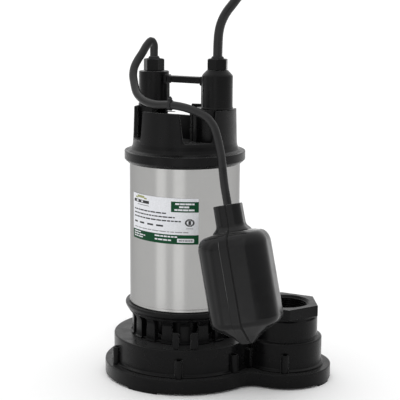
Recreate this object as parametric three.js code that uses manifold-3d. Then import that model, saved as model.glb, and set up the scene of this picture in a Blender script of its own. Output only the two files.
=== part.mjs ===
// Submersible sump pump with a side discharge and a tethered float switch.
// Units are millimetres. The origin is on the motor axis at floor level, +Z is up
// and +X points from the motor axis to the discharge port.
import * as THREE from 'three';
import { mergeVertices } from 'three/addons/utils/BufferGeometryUtils.js';
import Module from 'manifold-3d';

const wasm = await Module();
wasm.setup();

// ---------- driving dimensions ----------
const GAP = 0.3; // clearance between touching pieces
const ROUND = 30; // sides of a large round
const SMALL_ROUND = 12; // sides of a small round
const TURN = Math.PI * 2;

const PAD_HEIGHT = 1.5; // foot pads under the volute rim
const FLANGE_TOP = 15.7;
const FLANGE_RADIUS = 83.6;
const LOBE_RADIUS = 48.5;
const WAIST_FILLET = 20;
const SKIRT_WALL = 2.9;
const DRUM_RADIUS = 74;
const DRUM_TOP = 44;
const CHAMBER_RADIUS = 62;

const DISCHARGE_X = 106.5;
const DISCHARGE_DRUM_RADIUS = 38.8;
const DISCHARGE_DRUM_TOP = 45;
const DISCHARGE_NECK_RADIUS = 34;
const HEX_BOTTOM = 69;
const HEX_TOP = 80.5;
const HEX_CORNER_RADIUS = 36.5;
const HEX_CORNER_ANGLE = 41.6;
const PORT_RADIUS = 24.4; // 1 1/2 in NPT female thread

const SHELL_RADIUS = 57; // 4 1/2 in stainless tube
const SHELL_WALL = 0.9;
const SHELL_BOTTOM = 78.4;
const SHELL_TOP = 232;

const CAP_FLANGE_RADIUS = 62.3;
const CAP_FLANGE_BOTTOM = 227.5;
const CAP_FLANGE_TOP = 237;
const CROWN_RADIUS = 53;
const CROWN_WALL = 3.2;
const CROWN_DECK = 248.5;
const CROWN_TOP = 281;
const WINDOW_SILL = 249.5;

const POST_ANGLE = -21.2; // direction of the power cord's post; the float's is opposite
const POST_OFFSET = 37.6;
const POST_RADIUS = 15.6;
const POST_TOP = 316.5;
const POWER_NUT_TOP = 331.5;
const FLOAT_NUT_TOP = 329;
const NUT_CORNER_RADIUS = 10.9;

const POWER_CORD_RADIUS = 4.65;
const FLOAT_CORD_RADIUS = 4.15;

const SHAFT_RADIUS = 6;
const BEARING_OUTER = 17.5;
const BEARING_WIDTH = 11;

const FLOAT_HALF_WIDTH = 35;
const FLOAT_HALF_DEPTH = 28;
const FLOAT_WALL = 2.2;

// ---------- materials ----------
function finish(colour, roughness, metalness = 0) {
  return new THREE.MeshStandardMaterial({ color: colour, roughness, metalness });
}
const CHARCOAL = finish(0x3c3d3e, 0.5);
const CHARCOAL_FLOAT = finish(0x4d4e50, 0.42);
const STAINLESS = finish(0xc4c5c4, 0.28, 1);
const STEEL = finish(0xb0b2b4, 0.35, 1);
const LAMINATION = finish(0x6f7174, 0.55, 0.9);
const COPPER = finish(0xa4552c, 0.4, 0.9);
const BRASS = finish(0xc4a256, 0.35, 1);
const RUBBER = finish(0x26272a, 0.75);
const CORD_JACKET = finish(0x4a4b4d, 0.55);
const CERAMIC = finish(0xe6e2d8, 0.4);
const CARBON = finish(0x2a2a2c, 0.5);
const LABEL_FILM = finish(0xe4e5e8, 0.4);
const WHITE_PLASTIC = finish(0xd8d8d4, 0.5);

// ---------- solid helpers ----------
const radians = THREE.MathUtils.degToRad;

function polar(radius, degrees, z = 0) {
  return new THREE.Vector3(radius * Math.cos(radians(degrees)), radius * Math.sin(radians(degrees)), z);
}

// A closed three.js geometry as a manifold solid.
function solid(geometry) {
  const bare = geometry.index ? geometry.toNonIndexed() : geometry.clone();
  bare.deleteAttribute('normal');
  bare.deleteAttribute('uv');
  const merged = mergeVertices(bare, 1e-4);
  const vertProperties = new Float32Array(merged.attributes.position.array);
  const triVerts = new Uint32Array(merged.index.array);
  let body = new wasm.Manifold(new wasm.Mesh({ numProp: 3, vertProperties, triVerts }));
  if (body.volume() < 0) {
    for (let i = 0; i < triVerts.length; i += 3) {
      [triVerts[i + 1], triVerts[i + 2]] = [triVerts[i + 2], triVerts[i + 1]];
    }
    body = new wasm.Manifold(new wasm.Mesh({ numProp: 3, vertProperties, triVerts }));
  }
  return body;
}

function geometryOf(body) {
  const mesh = body.getMesh();
  const geometry = new THREE.BufferGeometry();
  geometry.setAttribute('position', new THREE.BufferAttribute(new Float32Array(mesh.vertProperties), 3));
  geometry.setIndex(new THREE.BufferAttribute(new Uint32Array(mesh.triVerts), 1));
  geometry.computeVertexNormals();
  return geometry;
}

// Turned solid about +Z from a list of [radius, z] points.
function turned(profile, sides = ROUND) {
  const points = profile.map(([r, z]) => new THREE.Vector2(r, z));
  const closes = profile[0][0] > 0 || profile.at(-1)[0] > 0;
  if (closes) points.push(points[0].clone());
  const geometry = new THREE.LatheGeometry(points, sides);
  geometry.rotateX(Math.PI / 2);
  return solid(geometry);
}

function disc(radius, z0, z1, x = 0, y = 0, sides = SMALL_ROUND) {
  return turned([[0, z0], [radius, z0], [radius, z1], [0, z1]], sides).translate([x, y, 0]);
}

function ring(inner, outer, z0, z1, sides = ROUND) {
  return turned([[inner, z0], [outer, z0], [outer, z1], [inner, z1]], sides);
}

function block(x0, x1, y0, y1, z0, z1) {
  const geometry = new THREE.BoxGeometry(x1 - x0, y1 - y0, z1 - z0);
  geometry.translate((x0 + x1) / 2, (y0 + y1) / 2, (z0 + z1) / 2);
  return solid(geometry);
}

function prism(shape, z0, z1, curveSegments = 12) {
  const geometry = new THREE.ExtrudeGeometry(shape, { depth: z1 - z0, bevelEnabled: false, curveSegments });
  geometry.translate(0, 0, z0);
  return solid(geometry);
}

// Ring sector between two radii, swept over an angle about +Z.
function sector(inner, outer, centre, width, z0, z1, steps = 4) {
  const shape = new THREE.Shape();
  shape.absarc(0, 0, outer, radians(centre - width / 2), radians(centre + width / 2), false);
  shape.absarc(0, 0, inner, radians(centre + width / 2), radians(centre - width / 2), true);
  return prism(shape, z0, z1, steps);
}

function sweep(points, radius, steps, sides = 8) {
  const curve = new THREE.CatmullRomCurve3(points);
  const section = new THREE.Shape();
  for (let i = 0; i < sides; i += 1) {
    const turn = (TURN * i) / sides;
    const place = [radius * Math.cos(turn), radius * Math.sin(turn)];
    if (i === 0) section.moveTo(...place);
    else section.lineTo(...place);
  }
  return new THREE.ExtrudeGeometry(section, { steps, extrudePath: curve, bevelEnabled: false });
}

// ---------- assembly helpers ----------
const pump = new THREE.Group();

function addGeometry(name, geometry, material, parent = pump) {
  const mesh = new THREE.Mesh(geometry, material);
  mesh.name = name;
  parent.add(mesh);
  return mesh;
}

function add(name, body, material, parent = pump) {
  return addGeometry(name, geometryOf(body), material, parent);
}

// ---------- base outline ----------
// Points of an arc from one angle to another, in radians, without its last point.
function arc(centreX, centreY, radius, from, to, steps) {
  const points = [];
  for (let i = 0; i < steps; i += 1) {
    const angle = from + ((to - from) * i) / steps;
    points.push(new THREE.Vector2(centreX + radius * Math.cos(angle), centreY + radius * Math.sin(angle)));
  }
  return points;
}

// Outline of the base: the pump's circle and the discharge lobe, joined by hollow fillets.
function baseOutline(inset = 0) {
  const main = FLANGE_RADIUS - inset;
  const lobe = LOBE_RADIUS - inset;
  const fillet = WAIST_FILLET + inset;
  const toMain = main + fillet;
  const toLobe = lobe + fillet;
  const x = (DISCHARGE_X ** 2 + toMain ** 2 - toLobe ** 2) / (2 * DISCHARGE_X);
  const y = Math.sqrt(toMain ** 2 - x ** 2);
  const mainAngle = Math.atan2(y, x);
  const lobeAngle = Math.atan2(y, x - DISCHARGE_X);
  return new THREE.Shape([
    ...arc(0, 0, main, mainAngle, TURN - mainAngle, 30),
    ...arc(x, -y, fillet, Math.PI - mainAngle, Math.PI - lobeAngle, 4),
    ...arc(DISCHARGE_X, 0, lobe, -lobeAngle, lobeAngle, 16),
    ...arc(x, y, fillet, lobeAngle - Math.PI, mainAngle - Math.PI, 4),
  ]);
}

// ---------- base plate, gasket and screws ----------
const PLATE_BOTTOM = 3.2;
const PLATE_TOP = 7.2;
const GASKET_TOP = 8.7;
const CASING_CEILING = 9;
const SCREW_HEAD_RADIUS = 3.3;
const SCREW_SHANK_RADIUS = 1.7;
const SCREW_TOP = 26;
const SCREW_HOLE_RADIUS = 2;
const SCREW_CIRCLE = 75.6;
const BOSS_RADIUS = 4.2;
const BOSS_TOP = 34.5;
const LOBE_SCREW_CIRCLE = 40.4;

// The screws stand mirrored about the line through both drums.
const screwPlaces = [];
for (const side of [-1, 1]) {
  for (const angle of [148, 84.5, 38]) screwPlaces.push(polar(SCREW_CIRCLE, side * angle));
  const lobePlace = polar(LOBE_SCREW_CIRCLE, side * 84);
  lobePlace.x += DISCHARGE_X;
  screwPlaces.push(lobePlace);
}

function basePlate() {
  let plate = prism(baseOutline(SKIRT_WALL + GAP), PLATE_BOTTOM, PLATE_TOP);
  plate = plate.add(disc(12, 0, PLATE_BOTTOM + 1, 0, 0, 20));
  for (const place of screwPlaces) {
    plate = plate.subtract(disc(SCREW_HOLE_RADIUS, 0, 10, place.x, place.y));
  }
  return plate;
}

function gasket() {
  const outer = prism(baseOutline(14), PLATE_TOP + GAP, GASKET_TOP);
  return outer.subtract(prism(baseOutline(18), PLATE_TOP, GASKET_TOP + 1));
}

function baseScrew(place) {
  const headBottom = 0.9;
  const headTop = PLATE_BOTTOM - GAP;
  const profile = [[0, headBottom], [SCREW_HEAD_RADIUS, headBottom], [SCREW_HEAD_RADIUS, headTop],
    [SCREW_SHANK_RADIUS, headTop], [SCREW_SHANK_RADIUS, SCREW_TOP], [0, SCREW_TOP + 1.5]];
  return turned(profile, 8).translate([place.x, place.y, 0]);
}

add('base_plate', basePlate(), CHARCOAL);
add('volute_gasket', gasket(), RUBBER);
screwPlaces.forEach((place, i) => add(`base_screw_${i + 1}`, baseScrew(place), STEEL));

// ---------- volute casing ----------
const EYE_RADIUS = 30;
const CHAMBER_TOP = 39;
const LUG_HEIGHT = 16.5;

function hexagon(cornerRadius, cornerAngle) {
  const shape = new THREE.Shape();
  for (let i = 0; i < 6; i += 1) {
    const corner = polar(cornerRadius, cornerAngle + 60 * i);
    if (i === 0) shape.moveTo(corner.x, corner.y);
    else shape.lineTo(corner.x, corner.y);
  }
  return shape;
}

function foot(centreX, radius, angle, width) {
  return sector(radius - SKIRT_WALL, radius, angle, width, 0, PAD_HEIGHT + 1).translate([centreX, 0, 0]);
}

function voluteOutside() {
  let body = prism(baseOutline(), PAD_HEIGHT, FLANGE_TOP);
  body = body.add(turned([[0, 14], [76.5, 14], [76.5, 17.2], [DRUM_RADIUS, 18.4],
    [DRUM_RADIUS, DRUM_TOP - 1.5], [DRUM_RADIUS - 1.5, DRUM_TOP], [0, DRUM_TOP]]));
  const discharge = turned([[0, 14], [41, 14], [41, 17.2], [DISCHARGE_DRUM_RADIUS, 18.4],
    [DISCHARGE_DRUM_RADIUS, DISCHARGE_DRUM_TOP - 2], [DISCHARGE_DRUM_RADIUS - 2, DISCHARGE_DRUM_TOP],
    [DISCHARGE_NECK_RADIUS, DISCHARGE_DRUM_TOP + 0.5], [DISCHARGE_NECK_RADIUS, HEX_BOTTOM + 1],
    [0, HEX_BOTTOM + 1]], 28);
  body = body.add(discharge.translate([DISCHARGE_X, 0, 0]));
  const hex = prism(hexagon(HEX_CORNER_RADIUS, HEX_CORNER_ANGLE), HEX_BOTTOM, HEX_TOP);
  body = body.add(hex.translate([DISCHARGE_X, 0, 0]));
  for (const place of screwPlaces) {
    body = body.add(disc(BOSS_RADIUS, 14, BOSS_TOP, place.x, place.y, 10));
  }
  for (const angle of [111.5, 180, 248.5]) body = body.add(foot(0, FLANGE_RADIUS, angle, 23));
  for (const angle of [-26, 26]) body = body.add(foot(DISCHARGE_X, LOBE_RADIUS, angle, 22));
  for (const side of [-1, 1]) {
    const rib = block(70, 81, -2.5, 2.5, 14, 36);
    body = body.add(rib.rotate([0, 0, side * 21.4]));
  }
  for (const [angle, width] of [[-87.5, 6], [-71.9, 7.2]]) {
    const lug = block(66, 70.5, -width / 2, width / 2, DRUM_TOP - 1, DRUM_TOP + LUG_HEIGHT);
    body = body.add(lug.rotate([0, 0, angle]));
  }
  return body;
}

// Bore of the discharge with its chamfered mouth.
function dischargeBore() {
  const profile = [[0, 11], [PORT_RADIUS, 11], [PORT_RADIUS, HEX_TOP - 1.5],
    [PORT_RADIUS + 2, HEX_TOP + 1], [0, HEX_TOP + 1]];
  return turned(profile, 28).translate([DISCHARGE_X, 0, 0]);
}

function voluteCasing() {
  let body = voluteOutside();
  const pocket = prism(baseOutline(SKIRT_WALL), -1, CASING_CEILING);
  const footRoom = disc(12 + GAP, -1, 1);
  body = body.subtract(pocket.add(footRoom));
  body = body.subtract(disc(CHAMBER_RADIUS, CASING_CEILING - 1, CHAMBER_TOP, 0, 0, ROUND));
  body = body.subtract(disc(EYE_RADIUS, CHAMBER_TOP - 1, DRUM_TOP + 1, 0, 0, 24));
  body = body.subtract(block(40, DISCHARGE_X, -14, 14, 12, 36));
  body = body.subtract(dischargeBore());
  for (const place of screwPlaces) {
    body = body.subtract(disc(SCREW_HOLE_RADIUS, 0, SCREW_TOP + 3, place.x, place.y, 8));
  }
  return body;
}

add('volute_casing', voluteCasing(), CHARCOAL);

// ---------- strainer ring ----------
const STRAINER_BOTTOM = DRUM_TOP + GAP;
const STRAINER_TOP = 70.2;
const STRAINER_INNER = 49;
const RIB_RADIUS = 54.8;
const RIB_FOOT_RADIUS = 56.2;
const SLOT_COUNT = 18;
const SLOT_WIDTH = 9.6; // degrees
const SLOT_BOTTOM = 46.6;
const SLOT_TOP = 68.6;
const RIB_ANGLE = -79.3; // one rib stands here

function strainerRing() {
  let body = turned([[STRAINER_INNER, STRAINER_BOTTOM], [RIB_FOOT_RADIUS, STRAINER_BOTTOM],
    [RIB_FOOT_RADIUS, SLOT_BOTTOM - 1], [RIB_RADIUS + 0.2, SLOT_BOTTOM], [RIB_RADIUS, 63.4], [55.8, 65.6],
    [59.1, STRAINER_TOP], [STRAINER_INNER, STRAINER_TOP]], 36);
  for (let i = 0; i < SLOT_COUNT; i += 1) {
    const angle = RIB_ANGLE + (360 / SLOT_COUNT) * (i + 0.5);
    body = body.subtract(sector(44, 66, angle, SLOT_WIDTH, SLOT_BOTTOM, SLOT_TOP, 1));
  }
  return body;
}

add('strainer_ring', strainerRing(), CHARCOAL);

// ---------- seal housing (collar) ----------
const COLLAR_RADIUS = 61.9;
const SEAL_BORE = 16;
const SPIGOT_RADIUS = 52.8; // stands inside the shell and its seal

function sealHousing() {
  const bottom = STRAINER_TOP + GAP;
  const seat = SHELL_BOTTOM - GAP;
  const bearingSeat = BEARING_OUTER + GAP;
  const rim = [[59.3, bottom], [60.9, 73.4], [COLLAR_RADIUS, 75.8], [COLLAR_RADIUS - 0.2, seat - 0.8],
    [COLLAR_RADIUS - 1, seat]];
  const spigot = [[SPIGOT_RADIUS, seat], [SPIGOT_RADIUS, seat + 4], [SPIGOT_RADIUS - 2, seat + 4],
    [SPIGOT_RADIUS - 2, 76]];
  const hub = [[24, 76], [22, 93.5], [bearingSeat, 93.5], [bearingSeat, 82], [SEAL_BORE, 82]];
  return turned([[SEAL_BORE, bottom], ...rim, ...spigot, ...hub]);
}

add('seal_housing', sealHousing(), CHARCOAL);
const oRing = (radius, z) => {
  const torus = new THREE.TorusGeometry(radius, 1.3, 5, 24);
  return torus.translate(0, 0, z);
};
addGeometry('shell_bottom_seal', oRing(54.4, SHELL_BOTTOM + 1.4), RUBBER);

// ---------- motor shell and label ----------
function motorShell() {
  const inner = SHELL_RADIUS - SHELL_WALL;
  return ring(inner, SHELL_RADIUS, SHELL_BOTTOM, SHELL_TOP);
}
add('motor_shell', motorShell(), STAINLESS);

const LABEL_CENTRE = -105.6;
const LABEL_WIDTH = 78.4; // degrees
const LABEL_BOTTOM = 149.8;
const LABEL_TOP = 196.3;
function ratingLabel() {
  const inner = SHELL_RADIUS + GAP;
  return sector(inner, inner + 0.3, LABEL_CENTRE, LABEL_WIDTH, LABEL_BOTTOM, LABEL_TOP, 10);
}
add('rating_label', ratingLabel(), LABEL_FILM);

// ---------- top cap ----------
const WINDOW_WIDTH = 40;
const WINDOW_OFFSET = 43.3;
const WEB_TOP = 273;
const PEDESTAL_RADIUS = 20;

function topCap() {
  const inner = CROWN_RADIUS - CROWN_WALL;
  let body = turned([
    [0, 238], [16, 238], [BEARING_OUTER + GAP, 237], [BEARING_OUTER + GAP, 214], [21, 214], [22.5, 238],
    [55.6, 238], [55.8, SHELL_TOP + GAP], [SHELL_RADIUS + GAP, SHELL_TOP + GAP],
    [SHELL_RADIUS + GAP, CAP_FLANGE_BOTTOM - 2.5], [58.6, CAP_FLANGE_BOTTOM - 2.5],
    [61.4, CAP_FLANGE_BOTTOM], [CAP_FLANGE_RADIUS, CAP_FLANGE_BOTTOM + 1.2],
    [CAP_FLANGE_RADIUS, CAP_FLANGE_TOP - 0.8], [CAP_FLANGE_RADIUS - 0.8, CAP_FLANGE_TOP],
    [58.8, CAP_FLANGE_TOP], [55.6, 239], [54, 242], [CROWN_RADIUS + 0.5, 246],
    [CROWN_RADIUS, CROWN_TOP - 0.8], [CROWN_RADIUS - 0.8, CROWN_TOP], [inner, CROWN_TOP],
    [inner - 0.4, CROWN_DECK], [0, CROWN_DECK],
  ]);
  for (const angle of [WINDOW_OFFSET, 180 - WINDOW_OFFSET, 180 + WINDOW_OFFSET, -WINDOW_OFFSET]) {
    const window = sector(44, 60, POST_ANGLE + angle, WINDOW_WIDTH, WINDOW_SILL, CROWN_TOP + 1);
    body = body.subtract(window);
  }
  let inside = disc(PEDESTAL_RADIUS, CROWN_DECK - 1, CROWN_TOP, inner - PEDESTAL_RADIUS, 0, 20);
  inside = inside.add(block(-22, 20, -2.2, 2.2, CROWN_DECK - 1, WEB_TOP));
  inside = inside.add(disc(4.2, CROWN_DECK - 1, CROWN_TOP, -POST_OFFSET - 1, 0));
  for (const y of [-12.5, 12.5]) {
    inside = inside.add(block(-47, -30, y - 3, y + 3, CROWN_DECK - 1, CROWN_TOP));
  }
  inside = inside.add(block(-47, -22, -2.2, 2.2, CROWN_DECK - 1, 262));
  return body.add(inside.rotate([0, 0, POST_ANGLE]));
}
add('top_cap', topCap(), CHARCOAL);
addGeometry('shell_top_seal', oRing(54.2, 229.4), RUBBER);

// ---------- cord posts, nuts and bushings ----------
const HANDLE_BOTTOM = 305.8;
const HANDLE_TOP = 312.4;
const HANDLE_HALF_WIDTH = 5;
const GLAND_BORE = 7.6;

const powerPost = new THREE.Group();
powerPost.rotation.z = radians(POST_ANGLE);
const floatPost = new THREE.Group();
floatPost.rotation.z = radians(POST_ANGLE + 180);
pump.add(powerPost, floatPost);

// A post with its gland bore; the narrow web faces the handle.
function post(top, shoulder) {
  const bottom = CROWN_TOP + GAP;
  const profile = [[0, bottom], [POST_RADIUS, bottom], [POST_RADIUS, top - (shoulder ? 2 : 1)]];
  if (shoulder) profile.push([POST_RADIUS - 1, top - 0.6], [10.6, top + 3.8], [0, top + 3.8]);
  else profile.push([POST_RADIUS - 1, top], [0, top]);
  let body = turned(profile, 28).translate([POST_OFFSET, 0, 0]);
  const reach = POST_OFFSET - POST_RADIUS;
  body = body.add(block(reach - 3, reach + 4, -3, 3, bottom, HANDLE_TOP));
  return body.subtract(disc(GLAND_BORE, bottom + 8, top + 6, POST_OFFSET, 0, 16));
}

function glandNut(bottom, top, cornerAngle, bore) {
  let body = prism(hexagon(NUT_CORNER_RADIUS, cornerAngle), bottom, top);
  body = body.intersect(turned([[0, bottom], [NUT_CORNER_RADIUS, bottom], [NUT_CORNER_RADIUS, top - 0.8],
    [NUT_CORNER_RADIUS - 1.2, top], [0, top]], 24));
  return body.subtract(disc(bore, bottom - 1, top + 1, 0, 0, 16)).translate([POST_OFFSET, 0, 0]);
}

// Tapered rubber bushing with a flange on the post's bore and a short collar above the nut.
function bushing(cordRadius, top) {
  const bore = cordRadius + GAP;
  const foot = CROWN_TOP + 9;
  const outer = GLAND_BORE - GAP;
  return turned([[bore, foot], [outer, foot], [outer, top - 16], [bore + 1.6, top + 1.8],
    [bore + 0.9, top + 2.6], [bore, top + 2.6]], 16).translate([POST_OFFSET, 0, 0]);
}

add('power_gland_body', post(POST_TOP, true), CHARCOAL, powerPost);
add('float_gland_body', post(POST_TOP, false), CHARCOAL, floatPost);
add('power_gland_nut', glandNut(POST_TOP + 3.8 + GAP, POWER_NUT_TOP, -68.8, GLAND_BORE), CHARCOAL, powerPost);
add('float_gland_nut', glandNut(POST_TOP + GAP, FLOAT_NUT_TOP, 81.2, GLAND_BORE), CHARCOAL, floatPost);
add('power_cord_bushing', bushing(POWER_CORD_RADIUS, POWER_NUT_TOP), RUBBER, powerPost);
add('float_cord_bushing', bushing(FLOAT_CORD_RADIUS, FLOAT_NUT_TOP), RUBBER, floatPost);

function carryHandle() {
  const reach = POST_OFFSET - POST_RADIUS - 3 - GAP;
  let body = block(-reach, reach, -HANDLE_HALF_WIDTH, HANDLE_HALF_WIDTH, HANDLE_BOTTOM, HANDLE_TOP);
  for (const side of [-1, 1]) {
    const channel = block(-reach + 4, reach - 2.5, side > 0 ? 3.8 : -6, side > 0 ? 6 : -3.8, 307.6, 310.6);
    body = body.subtract(channel);
  }
  return body.rotate([0, 0, POST_ANGLE]);
}
add('carry_handle', carryHandle(), CHARCOAL);

// ---------- motor inside the shell ----------
function statorCore() {
  let body = ring(27, SHELL_RADIUS - SHELL_WALL - GAP, 118, 172);
  for (let i = 0; i < 12; i += 1) {
    body = body.subtract(block(26, 42, -2.2, 2.2, 117, 173).rotate([0, 0, 30 * i]));
  }
  return body;
}

function winding(z0, z1) {
  return turned([[30, z0], [46, z0], [50, z0 + 4], [50, z1 - 4], [46, z1], [30, z1]], 20);
}

add('stator_core', statorCore(), LAMINATION);
add('stator_winding_lower', winding(98, 118 - GAP), COPPER);
add('stator_winding_upper', winding(172 + GAP, 192), COPPER);

const rotor = new THREE.Group();
pump.add(rotor);

function motorShaft() {
  const r = SHAFT_RADIUS;
  return turned([[0, 13], [4, 13], [4, 23], [r, 23], [r, 224], [r - 1, 225], [0, 225]], 24);
}
add('motor_shaft', motorShaft(), STEEL, rotor);
add('rotor_core', ring(SHAFT_RADIUS + GAP, 26.4, 118, 172, 24), LAMINATION, rotor);

// Each ball bearing is two races; the balls are left out of the solids.
function bearing(z, place) {
  const middle = (SHAFT_RADIUS + BEARING_OUTER) / 2;
  const inner = ring(SHAFT_RADIUS + GAP, middle - 1.6, z, z + BEARING_WIDTH, 20);
  const outer = ring(middle + 1.6, BEARING_OUTER, z, z + BEARING_WIDTH, 20);
  add(`${place}_bearing_inner`, inner, STEEL, rotor);
  add(`${place}_bearing_outer`, outer, STEEL);
}
bearing(82 + GAP, 'lower');
bearing(214 + GAP, 'upper');

// ---------- shaft seal and impeller ----------
add('shaft_seal_seat', ring(SHAFT_RADIUS + 1, 16 - GAP, 72, 79, 24), CERAMIC);
add('shaft_seal_head', ring(SHAFT_RADIUS + GAP, 13, 64, 72 - GAP, 24), CARBON, rotor);

function sealSpring() {
  const turns = 4;
  const points = [];
  for (let i = 0; i <= turns * 12; i += 1) {
    const angle = (360 * i) / 12;
    points.push(polar(10, angle, 48 + (14 * i) / (turns * 12)));
  }
  return sweep(points, 1, turns * 9, 5);
}
addGeometry('shaft_seal_spring', sealSpring(), STEEL, rotor);

const IMPELLER_RADIUS = 46;
function impeller() {
  let body = turned([[4 + GAP, 15], [14, 15], [14, 16], [IMPELLER_RADIUS, 16], [IMPELLER_RADIUS, 18.5],
    [18, 19.5], [12, 30], [12, 45], [SHAFT_RADIUS + GAP, 45], [SHAFT_RADIUS + GAP, 23 - GAP],
    [4 + GAP, 23 - GAP]], 24);
  for (let i = 0; i < 5; i += 1) {
    const shape = new THREE.Shape();
    shape.absarc(28, 18, 26, radians(-98), radians(-20), false);
    shape.absarc(28, 18, 23.6, radians(-20), radians(-98), true);
    const vane = prism(shape, 18, 36, 4).intersect(disc(IMPELLER_RADIUS, 17, 37, 0, 0, 24));
    body = body.add(vane.rotate([0, 0, 72 * i]));
  }
  return body;
}
add('impeller', impeller(), CHARCOAL, rotor);

function impellerNut() {
  const nut = prism(hexagon(7.5, 0), 9.6, 15 - GAP);
  return nut.subtract(disc(4 + GAP, 9, 16));
}
add('impeller_nut', impellerNut(), STEEL, rotor);

// ---------- electrical pieces above the stator ----------
const capacitorPlace = polar(36.5, 120);
add('run_capacitor', disc(13.5, 194, 232, capacitorPlace.x, capacitorPlace.y, 16), WHITE_PLASTIC);
add('thermal_protector', block(30, 46, -6, 6, 193, 200).rotate([0, 0, -100]), RUBBER);

// ---------- float ----------
// The float hangs on its tether, leaning outwards from the pump.
const FLOAT_TOP = new THREE.Vector3(53.8, -67.1, 193.5);
const FLOAT_LEAN = 13.0;
const FLOAT_LEAN_DIRECTION = -45;
const FLOAT_SPIN = -6;

const floatFrame = new THREE.Group();
floatFrame.position.copy(FLOAT_TOP);
const leanAxis = polar(1, FLOAT_LEAN_DIRECTION - 90);
const lean = new THREE.Quaternion().setFromAxisAngle(leanAxis, radians(FLOAT_LEAN));
const spin = new THREE.Quaternion().setFromAxisAngle(new THREE.Vector3(0, 0, 1), radians(FLOAT_SPIN));
floatFrame.quaternion.copy(lean.multiply(spin));
pump.add(floatFrame);

// Closed skin through rounded-rectangle sections given as [z, half width, half depth, corner].
function loft(sections) {
  const perCorner = 4;
  const count = perCorner * 4;
  const positions = [];
  for (const [z, halfX, halfY, corner] of sections) {
    for (let i = 0; i < count; i += 1) {
      const quadrant = Math.floor(i / perCorner);
      const turn = (Math.PI / 2) * (quadrant + (i % perCorner) / (perCorner - 1));
      const signX = quadrant === 0 || quadrant === 3 ? 1 : -1;
      const signY = quadrant < 2 ? 1 : -1;
      const x = signX * (halfX - corner) + corner * Math.cos(turn);
      const y = signY * (halfY - corner) + corner * Math.sin(turn);
      positions.push(x, y, z);
    }
  }
  const index = [];
  for (let s = 0; s + 1 < sections.length; s += 1) {
    for (let i = 0; i < count; i += 1) {
      const a = s * count + i;
      const b = s * count + ((i + 1) % count);
      index.push(a, b, b + count, a, b + count, a + count);
    }
  }
  const last = (sections.length - 1) * count;
  for (let i = 1; i + 1 < count; i += 1) {
    index.push(0, i + 1, i);
    index.push(last, last + i, last + i + 1);
  }
  const geometry = new THREE.BufferGeometry();
  geometry.setAttribute('position', new THREE.Float32BufferAttribute(positions, 3));
  geometry.setIndex(index);
  return solid(geometry);
}

function floatSkin(inset) {
  const w = FLOAT_HALF_WIDTH - inset;
  const d = FLOAT_HALF_DEPTH - inset;
  return loft([
    [-137 + inset * 1.6, 6 - inset / 2, 3.4 - inset / 2, 1.2], [-129 + inset, 14 - inset, 12 - inset, 6],
    [-120 + inset, w - 5, d - 5, 16], [-117 + inset, w - 1.5, d - 1.5, 18], [-112, w, d, 20],
    [-42, w, d, 20], [-35 - inset, w - 1.2, d - 1.2, 19], [-30.5 - inset, w - 4, d - 4, 17],
    [-28 - inset, w - 8.5, d - 8, 14], [-27 - inset, 18 - inset, 16 - inset, 10],
  ]);
}

function floatNeck() {
  return loft([
    [-28, 17.6, 15.5, 9], [-25.5, 17.2, 15.2, 9], [-22.5, 14.8, 13, 8.5], [-19, 13.9, 12.2, 8.4],
    [0, 13.7, 12, 8.4],
  ]);
}

function floatBody() {
  let body = floatSkin(0).add(floatNeck());
  const band = block(-10.5, 10.5, -FLOAT_HALF_DEPTH - 0.9, FLOAT_HALF_DEPTH + 0.9, -126, -31);
  body = body.add(band.intersect(block(-8.5, 0, -60, 60, -124, -33)).intersect(floatSkin(-0.9)));
  body = body.subtract(floatSkin(FLOAT_WALL));
  return body.subtract(disc(FLOAT_CORD_RADIUS + GAP, -34, 1, 0, 0, 16));
}

const wholeFloat = floatBody();
const SEAM = 0.15;
const leftHalf = wholeFloat.intersect(block(-60, -SEAM, -60, 60, -160, 10));
const rightHalf = wholeFloat.intersect(block(SEAM, 60, -60, 60, -160, 10));
add('float_half_left', leftHalf, CHARCOAL_FLOAT, floatFrame);
add('float_half_right', rightHalf, CHARCOAL_FLOAT, floatFrame);

// Tilt switch: the ball rolls in its tube and presses the switch lever.
const BALL_RADIUS = 8.5;
const BALL_REST = -108;
const ballTube = ring(BALL_RADIUS + 0.4, BALL_RADIUS + 1.9, -116, -72.5, 16);
add('ball_tube', ballTube, WHITE_PLASTIC, floatFrame);
const ball = new THREE.SphereGeometry(BALL_RADIUS, 14, 9);
ball.rotateX(Math.PI / 2);
ball.translate(0, 0, BALL_REST);
add('float_ball', solid(ball), STEEL, floatFrame);
add('float_switch', block(-10, 10, -4, 4, -66, -50), RUBBER, floatFrame);
const LEVER_PIVOT_X = -9.5;
const LEVER_Z = -69.7;
add('switch_lever', block(LEVER_PIVOT_X, 9, -3, 3, LEVER_Z - 0.5, LEVER_Z + 0.5), STEEL, floatFrame);

// ---------- float cord ----------
const FLOAT_CORD_PLACES = [
  [-35.06, 13.6, 332.2], [-35.1, 13.5, 337], [-35.1, 13, 342.8], [-37.2, 10.8, 347.2], [-41.2, 7.4, 343],
  [-45, 3.2, 335.6], [-49, -1, 328.4], [-51.5, -5.9, 321.8], [-51.9, -11, 314.7], [-50, -16.4, 307.4],
  [-44.4, -27.6, 296.6], [-34, -38.2, 290], [-21.7, -45.8, 287.6], [-6.2, -51.4, 288], [2.3, -52.8, 287.2],
  [10.3, -53.4, 285.6], [17.6, -53.6, 283.2], [24, -53.9, 280.6], [28.4, -54.3, 278.4], [31.8, -54.7, 275.9],
];
const SWING_POINT = [34.8, -55.1, 272.4];
const TETHER_PLACES = [
  SWING_POINT, [36.4, -55.4, 270.3], [38.6, -55.8, 266.1], [40.8, -56.8, 260], [43.4, -58.4, 250.8],
  [46, -60.2, 239.3], [50, -64, 212], [52.3, -66, 201], [53.8, -67.1, 193.8],
];

function cord(places, radius, steps) {
  return sweep(places.map((place) => new THREE.Vector3(...place)), radius, steps);
}

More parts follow.
